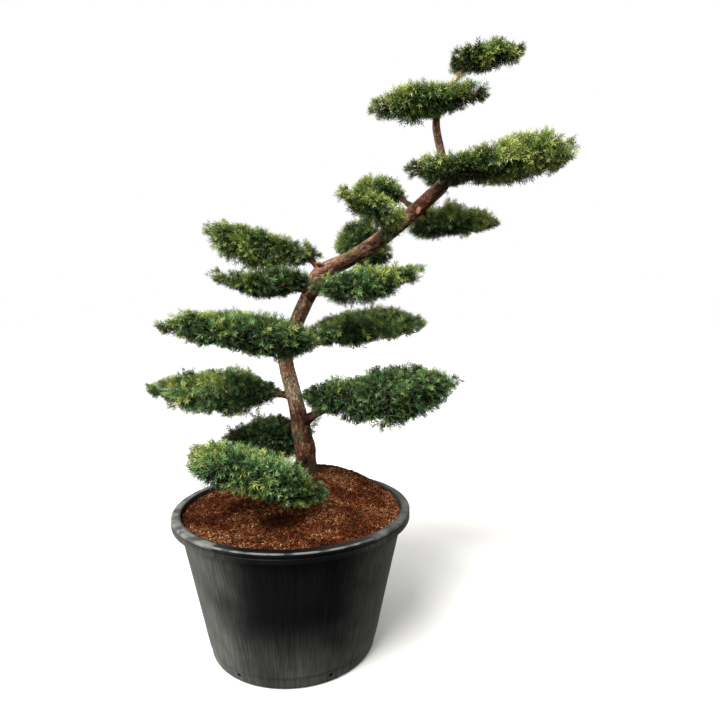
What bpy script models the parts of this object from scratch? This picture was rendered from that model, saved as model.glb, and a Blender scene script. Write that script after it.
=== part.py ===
"""A yew trained as a large bonsai with clipped, cloud-like pads, in its round nursery pot.

Metres, +Z up. The origin is the centre of the pot's flat underside, and -Y is the side the tree is
seen from. The trunk, each bough, each pad of foliage, the pot and the soil are objects of their own.
Every pad is a smooth form with a slim core inside it. Twigs branch from one stem through the core,
and each ends in a toothed spray of needles whose point lies on the form.
"""

import math
import random

import bmesh
import bpy
from mathutils import Matrix, Vector

UP = Vector((0.0, 0.0, 1.0))

# Pot: a tapered shell with a flat, turned-down rim and small drain holes above the base.
POT_HEIGHT = 0.358
RIM_RADIUS = 0.300
RIM_DEPTH = 0.0235
NECK_RADIUS = 0.2797          # outside of the wall, just under the rim
BASE_RADIUS = 0.2091          # outside of the wall, just above the rounded base edge
BASE_ROUND = 0.010
POT_WALL = 0.0035
FOOT_RING_HEIGHT = 0.032      # a small step runs round the wall here
FOOT_RING_STEP = 0.0015
POT_STEPS = 48
DRAIN_HOLES = 6
DRAIN_RADIUS = 0.0055
DRAIN_HEIGHT = 0.019
FIRST_DRAIN_DEG = -67.0

# Soil: fills the pot nearly to the rim, with a low mound round the trunk's foot.
SOIL_LEVEL = 0.346
SOIL_EDGE_RADIUS = 0.272
MOUND_TOP = 0.3937
MOUND_CENTRE = Vector((0.065, 0.160, 0.0))
MOUND_SPREAD = 0.150

GAP = 0.0003                  # left between two pieces that touch
LIMB_GAP = 0.0006             # left between the trunk's facets and a limb cut to them
SPRAY_GAP = 0.002             # left between the sprays of two pads
SOIL_GAP = 0.004              # left between a spray and the soil
TRUNK_SIDES = 8
BOUGH_SIDES = 6
TWIG_SIDES = 3

# The trunk's bends, from its flat cut on the soil to its tip: x, y, z and diameter.
TRUNK_BENDS = (
    (0.038, 0.140, 0.394, 0.058),
    (0.037, 0.139, 0.420, 0.054),
    (0.026, 0.134, 0.512, 0.051),
    (0.010, 0.125, 0.600, 0.041),
    (-0.018, 0.111, 0.728, 0.039),
    (0.008, 0.100, 0.808, 0.037),
    (0.048, 0.090, 0.895, 0.038),
    (0.080, 0.083, 0.952, 0.042),
    (0.160, 0.071, 0.994, 0.038),
    (0.266, 0.055, 1.065, 0.037),
    (0.360, 0.040, 1.148, 0.036),
    (0.398, 0.034, 1.188, 0.032),
    (0.392, 0.031, 1.245, 0.020),
    (0.373, 0.024, 1.330, 0.019),
    (0.384, 0.015, 1.392, 0.017),
    (0.430, 0.007, 1.452, 0.012),
)
TRUNK_CUTS = 3                # rings between two bends
FLARE_HEIGHT = 0.060
FLARE = 0.12                  # extra radius at the soil, as a share
FLARE_LOBES = 5

# Boughs: each leaves the trunk rising and thins towards its pad, where a stem takes over.
COLLAR_SHARE = 1.25           # of the bough's radius, where it leaves the trunk
STEM_SHARE = 0.80             # and where its pad's stem starts
BOUGH_RISE = 0.25             # how steeply a bough leaves the trunk
BOUGH_RING_GAP = 0.03
STRAIGHT = 0.006              # a bough's last stretch, in line with its pad's stem
STEM_RUN = 0.006              # of a stem that shows outside its core
CORE_MARGIN = 0.06            # added to the core's share where a stem starts
NEAR_TRUNK = 0.014            # a stem that starts closer than this needs no bough
LEADER_END = 0.008            # the trunk's tip runs on this far into the crown

# Pads: the core is the form drawn in to this share, and the sprays stand out of it to the form.
CORE_SHARE = 0.72
CORE_SEGMENTS = 10
CORE_RINGS = 6
SPRAY_AREA = 0.0050           # one spray for this much of a pad's plan
FEWEST_SPRAYS = 13
SPRAY_WIDTH = 0.58            # of its length
SPRAY_THICKNESS = 0.075       # of its length
SPRAY_LENGTH = (0.055, 0.100)
GOLDEN_ANGLE = math.pi * (3.0 - math.sqrt(5.0))
TURN_JITTER = 0.35            # radians, from one spray to the next round the pad
SPRAY_ROLL = 1.2
STEM_SPAN = (0.12, 0.86)      # twigs fork from the stem between these shares of the pad's length
FORK_BACK = 0.16              # a twig forks this far back along the pad
TWIG_RADII = (0.0035, 0.0022)
SHORTEST_TWIG = 0.004
TWIG_INTO_SPRAY = 0.12        # share of the spray that the twig runs into
FREE_FROM = 0.35              # a spray is clear of its own core beyond this share of its length
LIMB_CLEARANCE = 0.003

# Each pad: the bough it hangs on leaves the trunk at height `joins` and enters the pad at share
# `entry` of its length. `fullest` is where along its length the pad is widest, and `blunt` how
# round its root end and its tip end are: a smaller number is blunter.
PADS = (
    dict(name="low_front", joins=0.436, bough=0.009, entry=0.36, root=(0.085, -0.020, 0.383),
         tip=(-0.246, -0.120, 0.511), sag=0.010, half_width=0.126, rise=0.060, drop=0.054,
         fullest=0.55, blunt=(0.42, 0.20)),
    dict(name="low_back", joins=0.462, bough=0.008, entry=0.20, root=(0.028, 0.175, 0.480),
         tip=(-0.215, 0.250, 0.477), sag=0.010, half_width=0.095, rise=0.076, drop=0.078,
         fullest=0.33, blunt=(0.60, 0.70)),
    dict(name="left_mid", joins=0.622, bough=0.010, entry=0.16, root=(-0.034, 0.130, 0.634),
         tip=(-0.409, 0.200, 0.642), sag=-0.017, half_width=0.127, rise=0.084, drop=0.063,
         fullest=0.44, blunt=(0.60, 0.66)),
    dict(name="right_wide", joins=0.540, bough=0.010, entry=0.30, root=(0.022, 0.050, 0.626),
         tip=(0.423, -0.050, 0.668), sag=-0.013, half_width=0.144, rise=0.078, drop=0.088,
         fullest=0.56, blunt=(0.38, 0.60)),
    dict(name="left_wide", joins=0.738, bough=0.010, entry=0.28, root=(0.070, 0.020, 0.763),
         tip=(-0.322, -0.070, 0.818), sag=0.0, half_width=0.126, rise=0.076, drop=0.051,
         fullest=0.40, blunt=(0.55, 0.62)),
    dict(name="back_wide", joins=0.750, bough=0.008, entry=0.18, root=(-0.010, 0.165, 0.768),
         tip=(-0.130, 0.330, 0.790), sag=0.0, half_width=0.095, rise=0.042, drop=0.032,
         fullest=0.50, blunt=(0.55, 0.60)),
    dict(name="right_mid", joins=0.765, bough=0.009, entry=0.16, root=(0.030, 0.125, 0.780),
         tip=(0.391, 0.200, 0.821), sag=0.0, half_width=0.129, rise=0.068, drop=0.044,
         fullest=0.50, blunt=(0.50, 0.48)),
    dict(name="right_front", joins=0.885, bough=0.008, entry=0.15, root=(0.047, 0.020, 0.913),
         tip=(0.313, -0.100, 0.950), sag=-0.017, half_width=0.102, rise=0.050, drop=0.050,
         fullest=0.48, blunt=(0.58, 0.60)),
    dict(name="left_low", joins=0.905, bough=0.008, entry=0.18, root=(0.045, 0.085, 0.930),
         tip=(-0.206, 0.020, 0.944), sag=-0.030, half_width=0.095, rise=0.072, drop=0.021,
         fullest=0.36, blunt=(0.70, 0.80)),
    dict(name="left_high", joins=0.955, bough=0.009, entry=0.14, root=(0.087, 0.110, 1.001),
         tip=(-0.239, 0.200, 1.079), sag=-0.011, half_width=0.117, rise=0.054, drop=0.072,
         fullest=0.60, blunt=(0.46, 0.62)),
    dict(name="behind_bend", joins=1.022, bough=0.007, entry=0.45, root=(0.285, 0.170, 1.006),
         tip=(0.125, 0.260, 1.048), sag=0.008, half_width=0.100, rise=0.090, drop=0.072,
         fullest=0.46, blunt=(0.48, 0.62)),
    dict(name="middle_front", joins=1.072, bough=0.007, entry=0.12, root=(0.276, 0.000, 1.066),
         tip=(0.099, -0.120, 1.121), sag=0.018, half_width=0.071, rise=0.019, drop=0.053,
         fullest=0.34, blunt=(0.80, 0.69)),
    dict(name="middle_back", joins=1.115, bough=0.007, entry=0.10, root=(0.310, 0.100, 1.159),
         tip=(0.180, 0.220, 1.182), sag=0.005, half_width=0.075, rise=0.061, drop=0.025,
         fullest=0.48, blunt=(0.51, 0.52)),
    dict(name="right_low", joins=1.126, bough=0.007, entry=0.25, root=(0.325, 0.105, 1.081),
         tip=(0.610, 0.200, 1.110), sag=0.008, half_width=0.106, rise=0.055, drop=0.045,
         fullest=0.40, blunt=(0.36, 0.42)),
    dict(name="long_back", joins=1.196, bough=0.006, entry=0.20, root=(0.405, 0.062, 1.216),
         tip=(0.470, 0.190, 1.230), sag=0.0, half_width=0.089, rise=0.038, drop=0.036,
         fullest=0.48, blunt=(0.40, 0.55)),
    dict(name="right_long", joins=1.195, bough=0.009, entry=0.32, root=(0.271, -0.050, 1.192),
         tip=(0.689, -0.110, 1.227), sag=-0.012, half_width=0.121, rise=0.072, drop=0.043,
         fullest=0.68, blunt=(0.30, 0.55)),
    dict(name="upper_front", joins=1.345, bough=0.006, entry=0.38, root=(0.484, -0.070, 1.375),
         tip=(0.188, -0.030, 1.340), sag=0.0, half_width=0.089, rise=0.051, drop=0.044,
         fullest=0.47, blunt=(0.52, 0.62)),
    dict(name="upper_back", joins=1.350, bough=0.006, entry=0.20, root=(0.383, 0.040, 1.396),
         tip=(0.345, 0.160, 1.400), sag=0.0, half_width=0.074, rise=0.034, drop=0.026,
         fullest=0.48, blunt=(0.45, 0.60)),
    dict(name="crown", joins=None, bough=0.0055, entry=0.30, root=(0.400, 0.008, 1.477),
         tip=(0.595, -0.020, 1.500), sag=0.0, half_width=0.079, rise=0.042, drop=0.033,
         fullest=0.42, blunt=(0.36, 0.60)),
)


# -- Materials and the collection --

def linear(channel):
    """Turn one sRGB channel, 0 to 255, into a linear value."""
    share = channel / 255.0
    return share / 12.92 if share <= 0.04045 else ((share + 0.055) / 1.055) ** 2.4


def make_material(name, rgb, roughness):
    material = bpy.data.materials.new(name)
    material.use_nodes = True
    shader = material.node_tree.nodes["Principled BSDF"]
    shader.inputs["Base Color"].default_value = [linear(channel) for channel in rgb] + [1.0]
    shader.inputs["Roughness"].default_value = roughness
    shader.inputs["Metallic"].default_value = 0.0
    return material


def start_empty_scene():
    for scene_object in list(bpy.data.objects):
        bpy.data.objects.remove(scene_object)
    plant = bpy.data.collections.new("YewBonsai")
    cutters = bpy.data.collections.new("Cutters")
    for collection in (plant, cutters):
        bpy.context.scene.collection.children.link(collection)
    return plant, cutters


# -- Mesh helpers --

def add_object(name, mesh, collection):
    new_object = bpy.data.objects.new(name, mesh)
    collection.objects.link(new_object)
    return new_object


def hide_cutter(cutter):
    cutter.hide_render = True
    cutter.display_type = "WIRE"
    return cutter


def evaluated_mesh(source):
    """The object's mesh with its modifiers applied and a curve's loose caps welded."""
    bpy.context.view_layer.update()
    mesh = bpy.data.meshes.new_from_object(source.evaluated_get(bpy.context.evaluated_depsgraph_get()))
    shape = bmesh.new()
    shape.from_mesh(mesh)
    bmesh.ops.remove_doubles(shape, verts=shape.verts, dist=0.00001)
    shape.to_mesh(mesh)
    shape.free()
    return mesh


def replace_with_mesh(source, name, collection):
    mesh = evaluated_mesh(source)
    bpy.data.objects.remove(source)
    mesh.name = name
    return add_object(name, mesh, collection)


def tube(name, points, radii, sides, collection):
    """A tapering limb: a poly curve with a round bevel and filled caps, made a closed mesh."""
    curve = bpy.data.curves.new(name, "CURVE")
    curve.dimensions = "3D"
    curve.bevel_depth = 1.0
    curve.bevel_resolution = (sides - 4) // 2
    curve.use_fill_caps = True
    spline = curve.splines.new("POLY")
    spline.points.add(len(points) - 1)
    for knot, point, radius in zip(spline.points, points, radii):
        knot.co = (*point, 1.0)
        knot.radius = radius
    return replace_with_mesh(add_object(name + "_path", curve, collection), name, collection)


def rod(name, start, end, start_radius, end_radius, collection):
    """A straight three-sided twig from start to end."""
    along = end - start
    shape = bmesh.new()
    bmesh.ops.create_cone(shape, cap_ends=True, segments=TWIG_SIDES, radius1=start_radius,
                          radius2=end_radius, depth=along.length)
    turn = along.to_track_quat("Z", "Y").to_matrix().to_4x4()
    bmesh.ops.transform(shape, matrix=Matrix.Translation((start + end) / 2.0) @ turn, verts=shape.verts)
    mesh = bpy.data.meshes.new(name)
    shape.to_mesh(mesh)
    shape.free()
    return add_object(name, mesh, collection)


def turned(name, profile, collection):
    """A solid of revolution from an (r, z) profile that starts and ends on the axis."""
    shape = bmesh.new()
    corners = [shape.verts.new((radius, 0.0, height)) for radius, height in profile]
    for first, second in zip(corners, corners[1:]):
        shape.edges.new((first, second))
    mesh = bpy.data.meshes.new(name)
    shape.to_mesh(mesh)
    shape.free()
    outline = add_object(name + "_outline", mesh, collection)
    screw = outline.modifiers.new("Turn", "SCREW")
    screw.steps = screw.render_steps = POT_STEPS
    screw.use_merge_vertices = True
    screw.merge_threshold = 0.00001
    return replace_with_mesh(outline, name, collection)


def cut(target, cutter):
    boolean = target.modifiers.new("Cut", "BOOLEAN")
    boolean.operation = "DIFFERENCE"
    boolean.object = cutter


def keep_largest_body(mesh):
    """Drop loose scraps, and the walls of any hollow that a union has sealed."""
    shape = bmesh.new()
    shape.from_mesh(mesh)
    unseen = set(shape.verts)
    bodies = []
    while unseen:
        body = {unseen.pop()}
        edge_of_search = list(body)
        while edge_of_search:
            vertex = edge_of_search.pop()
            for edge in vertex.link_edges:
                neighbour = edge.other_vert(vertex)
                if neighbour in unseen:
                    unseen.remove(neighbour)
                    body.add(neighbour)
                    edge_of_search.append(neighbour)
        bodies.append(body)
    bodies.sort(key=len)
    scraps = [vertex for body in bodies[:-1] for vertex in body]
    bmesh.ops.delete(shape, geom=scraps, context="VERTS")
    shape.to_mesh(mesh)
    shape.free()


# -- Pot and soil --

def wall_radius(height):
    """Outside of the pot's wall at a height between its base and its rim."""
    share = (height - BASE_ROUND) / (POT_HEIGHT - RIM_DEPTH - BASE_ROUND)
    return BASE_RADIUS + share * (NECK_RADIUS - BASE_RADIUS)


def build_pot(collection, cutters, material):
    under_rim = POT_HEIGHT - RIM_DEPTH
    inner_neck = NECK_RADIUS - POT_WALL
    ring_radius = wall_radius(FOOT_RING_HEIGHT)
    outside = [
        (RIM_RADIUS, POT_HEIGHT),
        (RIM_RADIUS, under_rim),
        (RIM_RADIUS - POT_WALL, under_rim),
        (RIM_RADIUS - POT_WALL, POT_HEIGHT - POT_WALL),
        (NECK_RADIUS + 0.001, POT_HEIGHT - POT_WALL),
        (NECK_RADIUS, under_rim),
        (ring_radius + FOOT_RING_STEP, FOOT_RING_HEIGHT + 0.003),
        (ring_radius, FOOT_RING_HEIGHT),
        (BASE_RADIUS, BASE_ROUND),
        (BASE_RADIUS - 0.3 * BASE_ROUND, 0.3 * BASE_ROUND),
        (BASE_RADIUS - BASE_ROUND, 0.0),
        (0.0, 0.0),
    ]
    inside = [
        (0.0, POT_WALL),
        (BASE_RADIUS - BASE_ROUND, POT_WALL),
        (BASE_RADIUS - POT_WALL, BASE_ROUND),
        (inner_neck, under_rim),
        (inner_neck + 0.0008, POT_HEIGHT),
        (RIM_RADIUS, POT_HEIGHT),
    ]
    pot = turned("pot", outside + inside, collection)
    for index in range(DRAIN_HOLES):
        angle = math.radians(FIRST_DRAIN_DEG) + index * math.tau / DRAIN_HOLES
        outward = Vector((math.cos(angle), math.sin(angle), 0.0))
        shape = bmesh.new()
        bmesh.ops.create_cone(shape, cap_ends=True, segments=8, radius1=DRAIN_RADIUS,
                              radius2=DRAIN_RADIUS, depth=8.0 * POT_WALL)
        middle = outward * (wall_radius(DRAIN_HEIGHT) - POT_WALL / 2.0) + UP * DRAIN_HEIGHT
        turn = outward.to_track_quat("Z", "Y").to_matrix().to_4x4()
        bmesh.ops.transform(shape, matrix=Matrix.Translation(middle) @ turn, verts=shape.verts)
        mesh = bpy.data.meshes.new("drain")
        shape.to_mesh(mesh)
        shape.free()
        cut(pot, hide_cutter(add_object(f"drain_{index}", mesh, cutters)))
    pot.data.materials.append(material)
    return pot


def soil_height(x, y):
    """The soil's surface: level at the wall, with a flat-topped mound round the trunk."""
    distance = math.hypot(x - MOUND_CENTRE.x, y - MOUND_CENTRE.y)
    swell = min(1.0, 1.25 * math.exp(-(distance / MOUND_SPREAD) ** 2))
    return SOIL_LEVEL + (MOUND_TOP - SOIL_LEVEL) * swell


def build_soil(collection, material):
    floor = POT_WALL + GAP
    inner_neck = NECK_RADIUS - POT_WALL
    edge = inner_neck - GAP
    ring_radii = [SOIL_EDGE_RADIUS * share for share in (0.22, 0.44, 0.64, 0.82, 1.0)]
    top = [(0.0, SOIL_LEVEL)] + [(radius, SOIL_LEVEL) for radius in ring_radii]
    slope = (inner_neck - (BASE_RADIUS - POT_WALL)) / (POT_HEIGHT - RIM_DEPTH - BASE_ROUND)
    shoulder_height = SOIL_LEVEL - 0.012
    side = [
        (edge - slope * (POT_HEIGHT - RIM_DEPTH - shoulder_height), shoulder_height),
        (BASE_RADIUS - POT_WALL - GAP, BASE_ROUND + GAP),
        (BASE_RADIUS - BASE_ROUND - GAP, floor),
        (0.0, floor),
    ]
    soil = turned("soil", top + side, collection)
    for vertex in soil.data.vertices:
        if vertex.co.z > SOIL_LEVEL - 0.001:
            vertex.co.z = soil_height(vertex.co.x, vertex.co.y)
    soil.data.materials.append(material)
    return soil


# -- Trunk --

def smooth_path(bends, cuts):
    """Points and radii on a Catmull-Rom curve through the bends."""
    stations = [(Vector(bend[:3]), bend[3] / 2.0) for bend in bends]
    first = (2.0 * stations[0][0] - stations[1][0], stations[0][1])
    last = (2.0 * stations[-1][0] - stations[-2][0], stations[-1][1])
    line = [first] + stations + [last]
    points = []
    radii = []
    for before, here, after, beyond in zip(line, line[1:], line[2:], line[3:]):
        for step in range(cuts):
            t = step / cuts
            point = 0.5 * (2.0 * here[0] + (after[0] - before[0]) * t
                           + (2.0 * before[0] - 5.0 * here[0] + 4.0 * after[0] - beyond[0]) * t * t
                           + (3.0 * here[0] - before[0] - 3.0 * after[0] + beyond[0]) * t ** 3)
            points.append(point)
            radii.append(here[1] + (after[1] - here[1]) * t)
    points.append(stations[-1][0])
    radii.append(stations[-1][1])
    # The first ring is level, so the foot is a flat cut.
    points[1] = Vector((points[0].x, points[0].y, points[1].z))
    return points, radii


TRUNK_POINTS, TRUNK_RADII = smooth_path(TRUNK_BENDS, TRUNK_CUTS)


def trunk_at(height):
    """The trunk's centre and radius at a height."""
    for index in range(len(TRUNK_POINTS) - 1):
        low, high = TRUNK_POINTS[index], TRUNK_POINTS[index + 1]
        if low.z <= height <= high.z:
            share = (height - low.z) / (high.z - low.z)
            radius = TRUNK_RADII[index] + share * (TRUNK_RADII[index + 1] - TRUNK_RADII[index])
            return low.lerp(high, share), radius
    return TRUNK_POINTS[-1].copy(), TRUNK_RADII[-1]


def build_trunk(name, collection, extra=0.0):
    """The trunk with its root flare, or, with an extra radius, the shape to cut limbs with."""
    radii = [radius + extra for radius in TRUNK_RADII]
    trunk = tube(name, TRUNK_POINTS, radii, TRUNK_SIDES, collection)
    foot = TRUNK_POINTS[0]
    for vertex in trunk.data.vertices:
        rise = (vertex.co.z - foot.z) / FLARE_HEIGHT
        if rise < 1.0:
            spoke = Vector((vertex.co.x - foot.x, vertex.co.y - foot.y, 0.0))
            lobe = 0.65 + 0.35 * math.cos(FLARE_LOBES * math.atan2(spoke.y, spoke.x))
            vertex.co += spoke * FLARE * lobe * (1.0 - rise) ** 2
    return trunk


# -- Pads of foliage --

class Pad:
    """The smooth form of one pad, with the place where its stem starts."""

    def __init__(self, name, root, tip, sag, half_width, rise, drop, fullest, blunt, joins, bough, entry):
        self.name = name
        self.root = Vector(root)
        self.tip = Vector(tip)
        self.sag = sag
        self.half_width = half_width
        self.rise = rise
        self.drop = drop
        self.power = math.log(0.5) / math.log(fullest)
        self.blunt = blunt
        self.joins = joins
        self.bough = bough
        self.along = (self.tip - self.root).normalized()
        self.side = self.along.cross(UP).normalized()
        self.entry = self.centre(entry)
        self.trunk_point, self.trunk_radius = trunk_at(joins if joins else 99.0)
        self.stem_start = self.find_stem_start()

    def centre(self, u):
        return self.root.lerp(self.tip, u) + UP * self.sag * 4.0 * u * (1.0 - u)

    def fullness(self, u):
        u = min(max(u, 0.0), 1.0)
        bluntness = self.blunt[0] + (self.blunt[1] - self.blunt[0]) * u
        return max(math.sin(math.pi * u ** self.power), 0.0) ** bluntness

    def surface(self, u, v, share=1.0):
        """A point on the form at share u of its length and angle v round it."""
        height = self.rise if math.sin(v) > 0.0 else self.drop
        across = self.side * self.half_width * math.cos(v)
        return self.centre(u) + self.fullness(u) * share * (across + UP * height * math.sin(v))

    def holds(self, point, share=1.0):
        """Whether a point is inside the form drawn in to a share of its girth."""
        u = (point - self.root).dot(self.along) / (self.tip - self.root).length
        if not 0.0 < u < 1.0:
            return False
        offset = point - self.centre(u)
        height = self.rise if offset.z > 0.0 else self.drop
        reach = math.hypot(offset.dot(self.side) / self.half_width, offset.z / height)
        return reach < share * self.fullness(u)

    def find_stem_start(self):
        """Walk from the entry towards the trunk until clear of the core."""
        towards = (self.trunk_point - self.entry).normalized()
        distance = 0.005
        while self.holds(self.entry + towards * distance, CORE_SHARE + CORE_MARGIN):
            distance += 0.002
        return self.entry + towards * (distance + STEM_RUN)

    def hangs_on_trunk(self):
        """Whether the stem starts so near the trunk that no bough shows between them."""
        return (self.stem_start - self.trunk_point).length < self.trunk_radius + NEAR_TRUNK

    def spray_count(self):
        length = (self.tip - self.root).length
        return max(FEWEST_SPRAYS, round(length * 2.0 * self.half_width / SPRAY_AREA))


def bough_path(pad):
    """A limb that leaves the trunk rising, and ends straight on the line of the pad's stem."""
    start = pad.trunk_point
    end = pad.stem_start
    into_pad = (pad.entry - end).normalized()
    bend_end = end - into_pad * STRAIGHT
    span = (bend_end - start).length
    outward = (bend_end - start).normalized()
    first_handle = start + (outward + UP * BOUGH_RISE).normalized() * span * 0.4
    last_handle = bend_end - into_pad * span * 0.3
    steps = 3 + int(span / BOUGH_RING_GAP)
    points = []
    for index in range(steps + 1):
        t = index / steps
        points.append(start * (1 - t) ** 3 + first_handle * 3 * t * (1 - t) ** 2
                      + last_handle * 3 * t * t * (1 - t) + bend_end * t ** 3)
    points.append(end)
    thinning = (COLLAR_SHARE - STEM_SHARE) / (len(points) - 1)
    radii = [pad.bough * (COLLAR_SHARE - thinning * index) for index in range(len(points))]
    return points, radii


def build_bough(pad, trunk_cutter, collection, material):
    points, radii = bough_path(pad)
    bough = tube("bough_" + pad.name, points, radii, BOUGH_SIDES, collection)
    cut(bough, trunk_cutter)
    bough.data.materials.append(material)
    return bough


def build_core(pad, collection):
    """The pad's form drawn in to its core: a sphere's rings laid along the pad."""
    shape = bmesh.new()
    bmesh.ops.create_uvsphere(shape, u_segments=CORE_SEGMENTS, v_segments=CORE_RINGS, radius=1.0)
    for vertex in shape.verts:
        u = 0.07 + 0.86 * (1.0 + vertex.co.z) / 2.0
        ring = math.hypot(vertex.co.x, vertex.co.y)
        share = CORE_SHARE if ring > 0.001 else 0.0
        vertex.co = pad.surface(u, math.atan2(vertex.co.y, vertex.co.x), share)
    bmesh.ops.recalc_face_normals(shape, faces=shape.faces)
    mesh = bpy.data.meshes.new(pad.name + "_core")
    shape.to_mesh(mesh)
    shape.free()
    return add_object(pad.name + "_core", mesh, collection)


def spray_template():
    """A toothed blade of needles, one long, pointing along +X, from a flat extruded outline."""
    half = SPRAY_WIDTH / 2.0
    upper = [(0.0, 0.25 * half), (0.66, half), (0.71, 0.52 * half)]
    outline = upper + [(1.0, 0.0)] + [(x, -y) for x, y in reversed(upper)]
    curve = bpy.data.curves.new("spray", "CURVE")
    curve.dimensions = "2D"
    curve.fill_mode = "BOTH"
    curve.extrude = SPRAY_THICKNESS / 2.0
    spline = curve.splines.new("POLY")
    spline.points.add(len(outline) - 1)
    for knot, (x, y) in zip(spline.points, outline):
        knot.co = (x, y, 0.0, 1.0)
    spline.use_cyclic_u = True
    template = add_object("spray_outline", curve, bpy.context.scene.collection)
    mesh = evaluated_mesh(template)
    bpy.data.objects.remove(template)
    return mesh


def segment_gap(a, b, c, d):
    """The least distance between segments a-b and c-d, by sampling one and projecting on the other."""
    along = d - c
    best = 1.0
    for index in range(7):
        point = a.lerp(b, index / 6.0)
        t = min(max((point - c).dot(along) / along.length_squared, 0.0), 1.0)
        best = min(best, (point - (c + along * t)).length)
    return best


class Keepout:
    """What a spray must not touch: limbs, other pads' cores, and other pads' sprays."""

    def __init__(self, pads):
        self.limbs = list(zip(TRUNK_POINTS, TRUNK_POINTS[1:], TRUNK_RADII))
        self.cores = pads
        self.sprays = []
        for pad in pads:
            if not pad.hangs_on_trunk():
                points, radii = bough_path(pad)
                self.limbs += list(zip(points, points[1:], radii))

    def allows(self, pad, root, tip, half_width):
        free = root.lerp(tip, FREE_FROM)
        for low, high, radius in self.limbs:
            if segment_gap(free, tip, low, high) < radius + half_width + LIMB_CLEARANCE:
                return False
        for other in self.cores:
            if other is pad:
                continue
            for index in range(5):
                if other.holds(free.lerp(tip, index / 4.0)):
                    return False
        for name, other_root, other_tip, other_half in self.sprays:
            room = 0.8 * (half_width + other_half) + SPRAY_GAP
            if name != pad.name and segment_gap(free, tip, other_root, other_tip) < room:
                return False
        self.sprays.append((pad.name, free, tip, half_width))
        return free.z - half_width > soil_height(free.x, free.y) + SOIL_GAP


def grow_stem(pad, limb_cutter, grown):
    """The pad's one stem, from its bough's tip, the trunk's side or the trunk's tip."""
    radius = pad.bough * STEM_SHARE
    name = pad.name + "_stem"
    into_pad = (pad.entry - pad.stem_start).normalized()
    if pad.joins is None:
        onward = (TRUNK_POINTS[-1] - TRUNK_POINTS[-2]).normalized()
        start = TRUNK_POINTS[-1] + onward * GAP
        tube(name, [start, start + onward * LEADER_END, pad.entry], [radius] * 3, BOUGH_SIDES, grown)
    elif pad.hangs_on_trunk():
        stem = tube(name, [pad.trunk_point, pad.entry], [radius] * 2, BOUGH_SIDES, grown)
        cut(stem, limb_cutter)
        replace_with_mesh(stem, name, grown)
    else:
        start = pad.stem_start + into_pad * GAP
        tube(name, [start, pad.entry], [radius, radius * STEM_SHARE], BOUGH_SIDES, grown)


def build_pad(pad, template, core_cutter, limb_cutter, keepout, plant, material):
    """One mass: core, stem, twigs and sprays, joined by a single union."""
    rng = random.Random(pad.name)
    core = build_core(pad, plant)
    cut(core, core_cutter)
    core = replace_with_mesh(core, pad.name, plant)
    grown = bpy.data.collections.new(pad.name + "_growth")
    bpy.context.scene.collection.children.link(grown)

    grow_stem(pad, limb_cutter, grown)
    count = pad.spray_count()
    for index in range(count):
        u = min(0.04 + 0.97 * (index + 0.5) / count, 0.995)
        v = index * GOLDEN_ANGLE + rng.uniform(-TURN_JITTER, TURN_JITTER)
        if index >= count - 2:
            u, v = 0.995, 0.3 * math.pi * (index - count + 2)
        fork = pad.centre(max(STEM_SPAN[0], min(STEM_SPAN[1], u - FORK_BACK)))
        tip = pad.surface(u, v)
        length = min(max((tip - fork).length, SPRAY_LENGTH[0]), SPRAY_LENGTH[1])
        root = tip + (fork - tip).normalized() * length
        half_width = (tip - root).length * SPRAY_WIDTH / 2.0
        if not keepout.allows(pad, root, tip, half_width):
            continue
        blade = add_object(f"{pad.name}_spray_{index}", template.copy(), grown)
        along = tip - root
        flat = (UP + pad.side * rng.uniform(-SPRAY_ROLL, SPRAY_ROLL)).normalized()
        across = flat.cross(along).normalized()
        normal = along.normalized().cross(across)
        frame = Matrix((along.normalized(), across, normal)).transposed().to_4x4()
        blade.data.transform(Matrix.Translation(root) @ frame @ Matrix.Scale(along.length, 4))
        if (root - fork).length > SHORTEST_TWIG:
            twig_end = root + along * TWIG_INTO_SPRAY
            rod(f"{pad.name}_twig_{index}", fork, twig_end, *TWIG_RADII, grown)

    union = core.modifiers.new("Grow", "BOOLEAN")
    union.operation = "UNION"
    union.operand_type = "COLLECTION"
    union.collection = grown
    mass = replace_with_mesh(core, pad.name, plant)
    keep_largest_body(mass.data)
    for piece in list(grown.objects):
        bpy.data.objects.remove(piece)
    bpy.data.collections.remove(grown)
    mass.data.materials.clear()
    mass.data.materials.append(material)
    return mass


def shade_round(plant):
    for piece in plant.objects:
        piece.data.shade_smooth()
        piece.data.set_sharp_from_angle(angle=math.radians(35.0))


def main():
    plant, cutters = start_empty_scene()
    plastic = make_material("BlackPotPlastic", (38, 40, 40), 0.5)
    bark = make_material("YewBark", (96, 66, 50), 0.85)
    needles = make_material("YewNeedles", (52, 84, 50), 0.7)
    fibre = make_material("BarkFibreSoil", (110, 68, 44), 0.95)

    build_pot(plant, cutters, plastic)
    build_soil(plant, fibre)
    trunk = build_trunk("trunk", plant)
    trunk.data.materials.append(bark)
    limb_cutter = hide_cutter(build_trunk("limb_cutter", cutters, LIMB_GAP))
    core_cutter = hide_cutter(build_trunk("core_cutter", cutters, LIMB_CLEARANCE))

    pads = [Pad(**sizes) for sizes in PADS]
    keepout = Keepout(pads)
    template = spray_template()
    for pad in pads:
        if pad.joins and not pad.hangs_on_trunk():
            build_bough(pad, limb_cutter, plant, bark)
        build_pad(pad, template, core_cutter, limb_cutter, keepout, plant, needles)
    shade_round(plant)


main()
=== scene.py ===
# %% [markdown]
# # A yew bonsai in a nursery pot
#
# This is a yew that has been trained for many years: one bent trunk, short boughs, and flat clouds of
# needles that are clipped once or twice a year. It stands in the black plastic pot it was grown in.
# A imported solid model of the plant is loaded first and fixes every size. The scene then lays a finer
# skin over it: bark with scales, twigs that fork three times, needles, loose soil fibre and worn plastic.
# All lengths are in metres, +Z is up, and the middle of the pot's underside is the origin.

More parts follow.
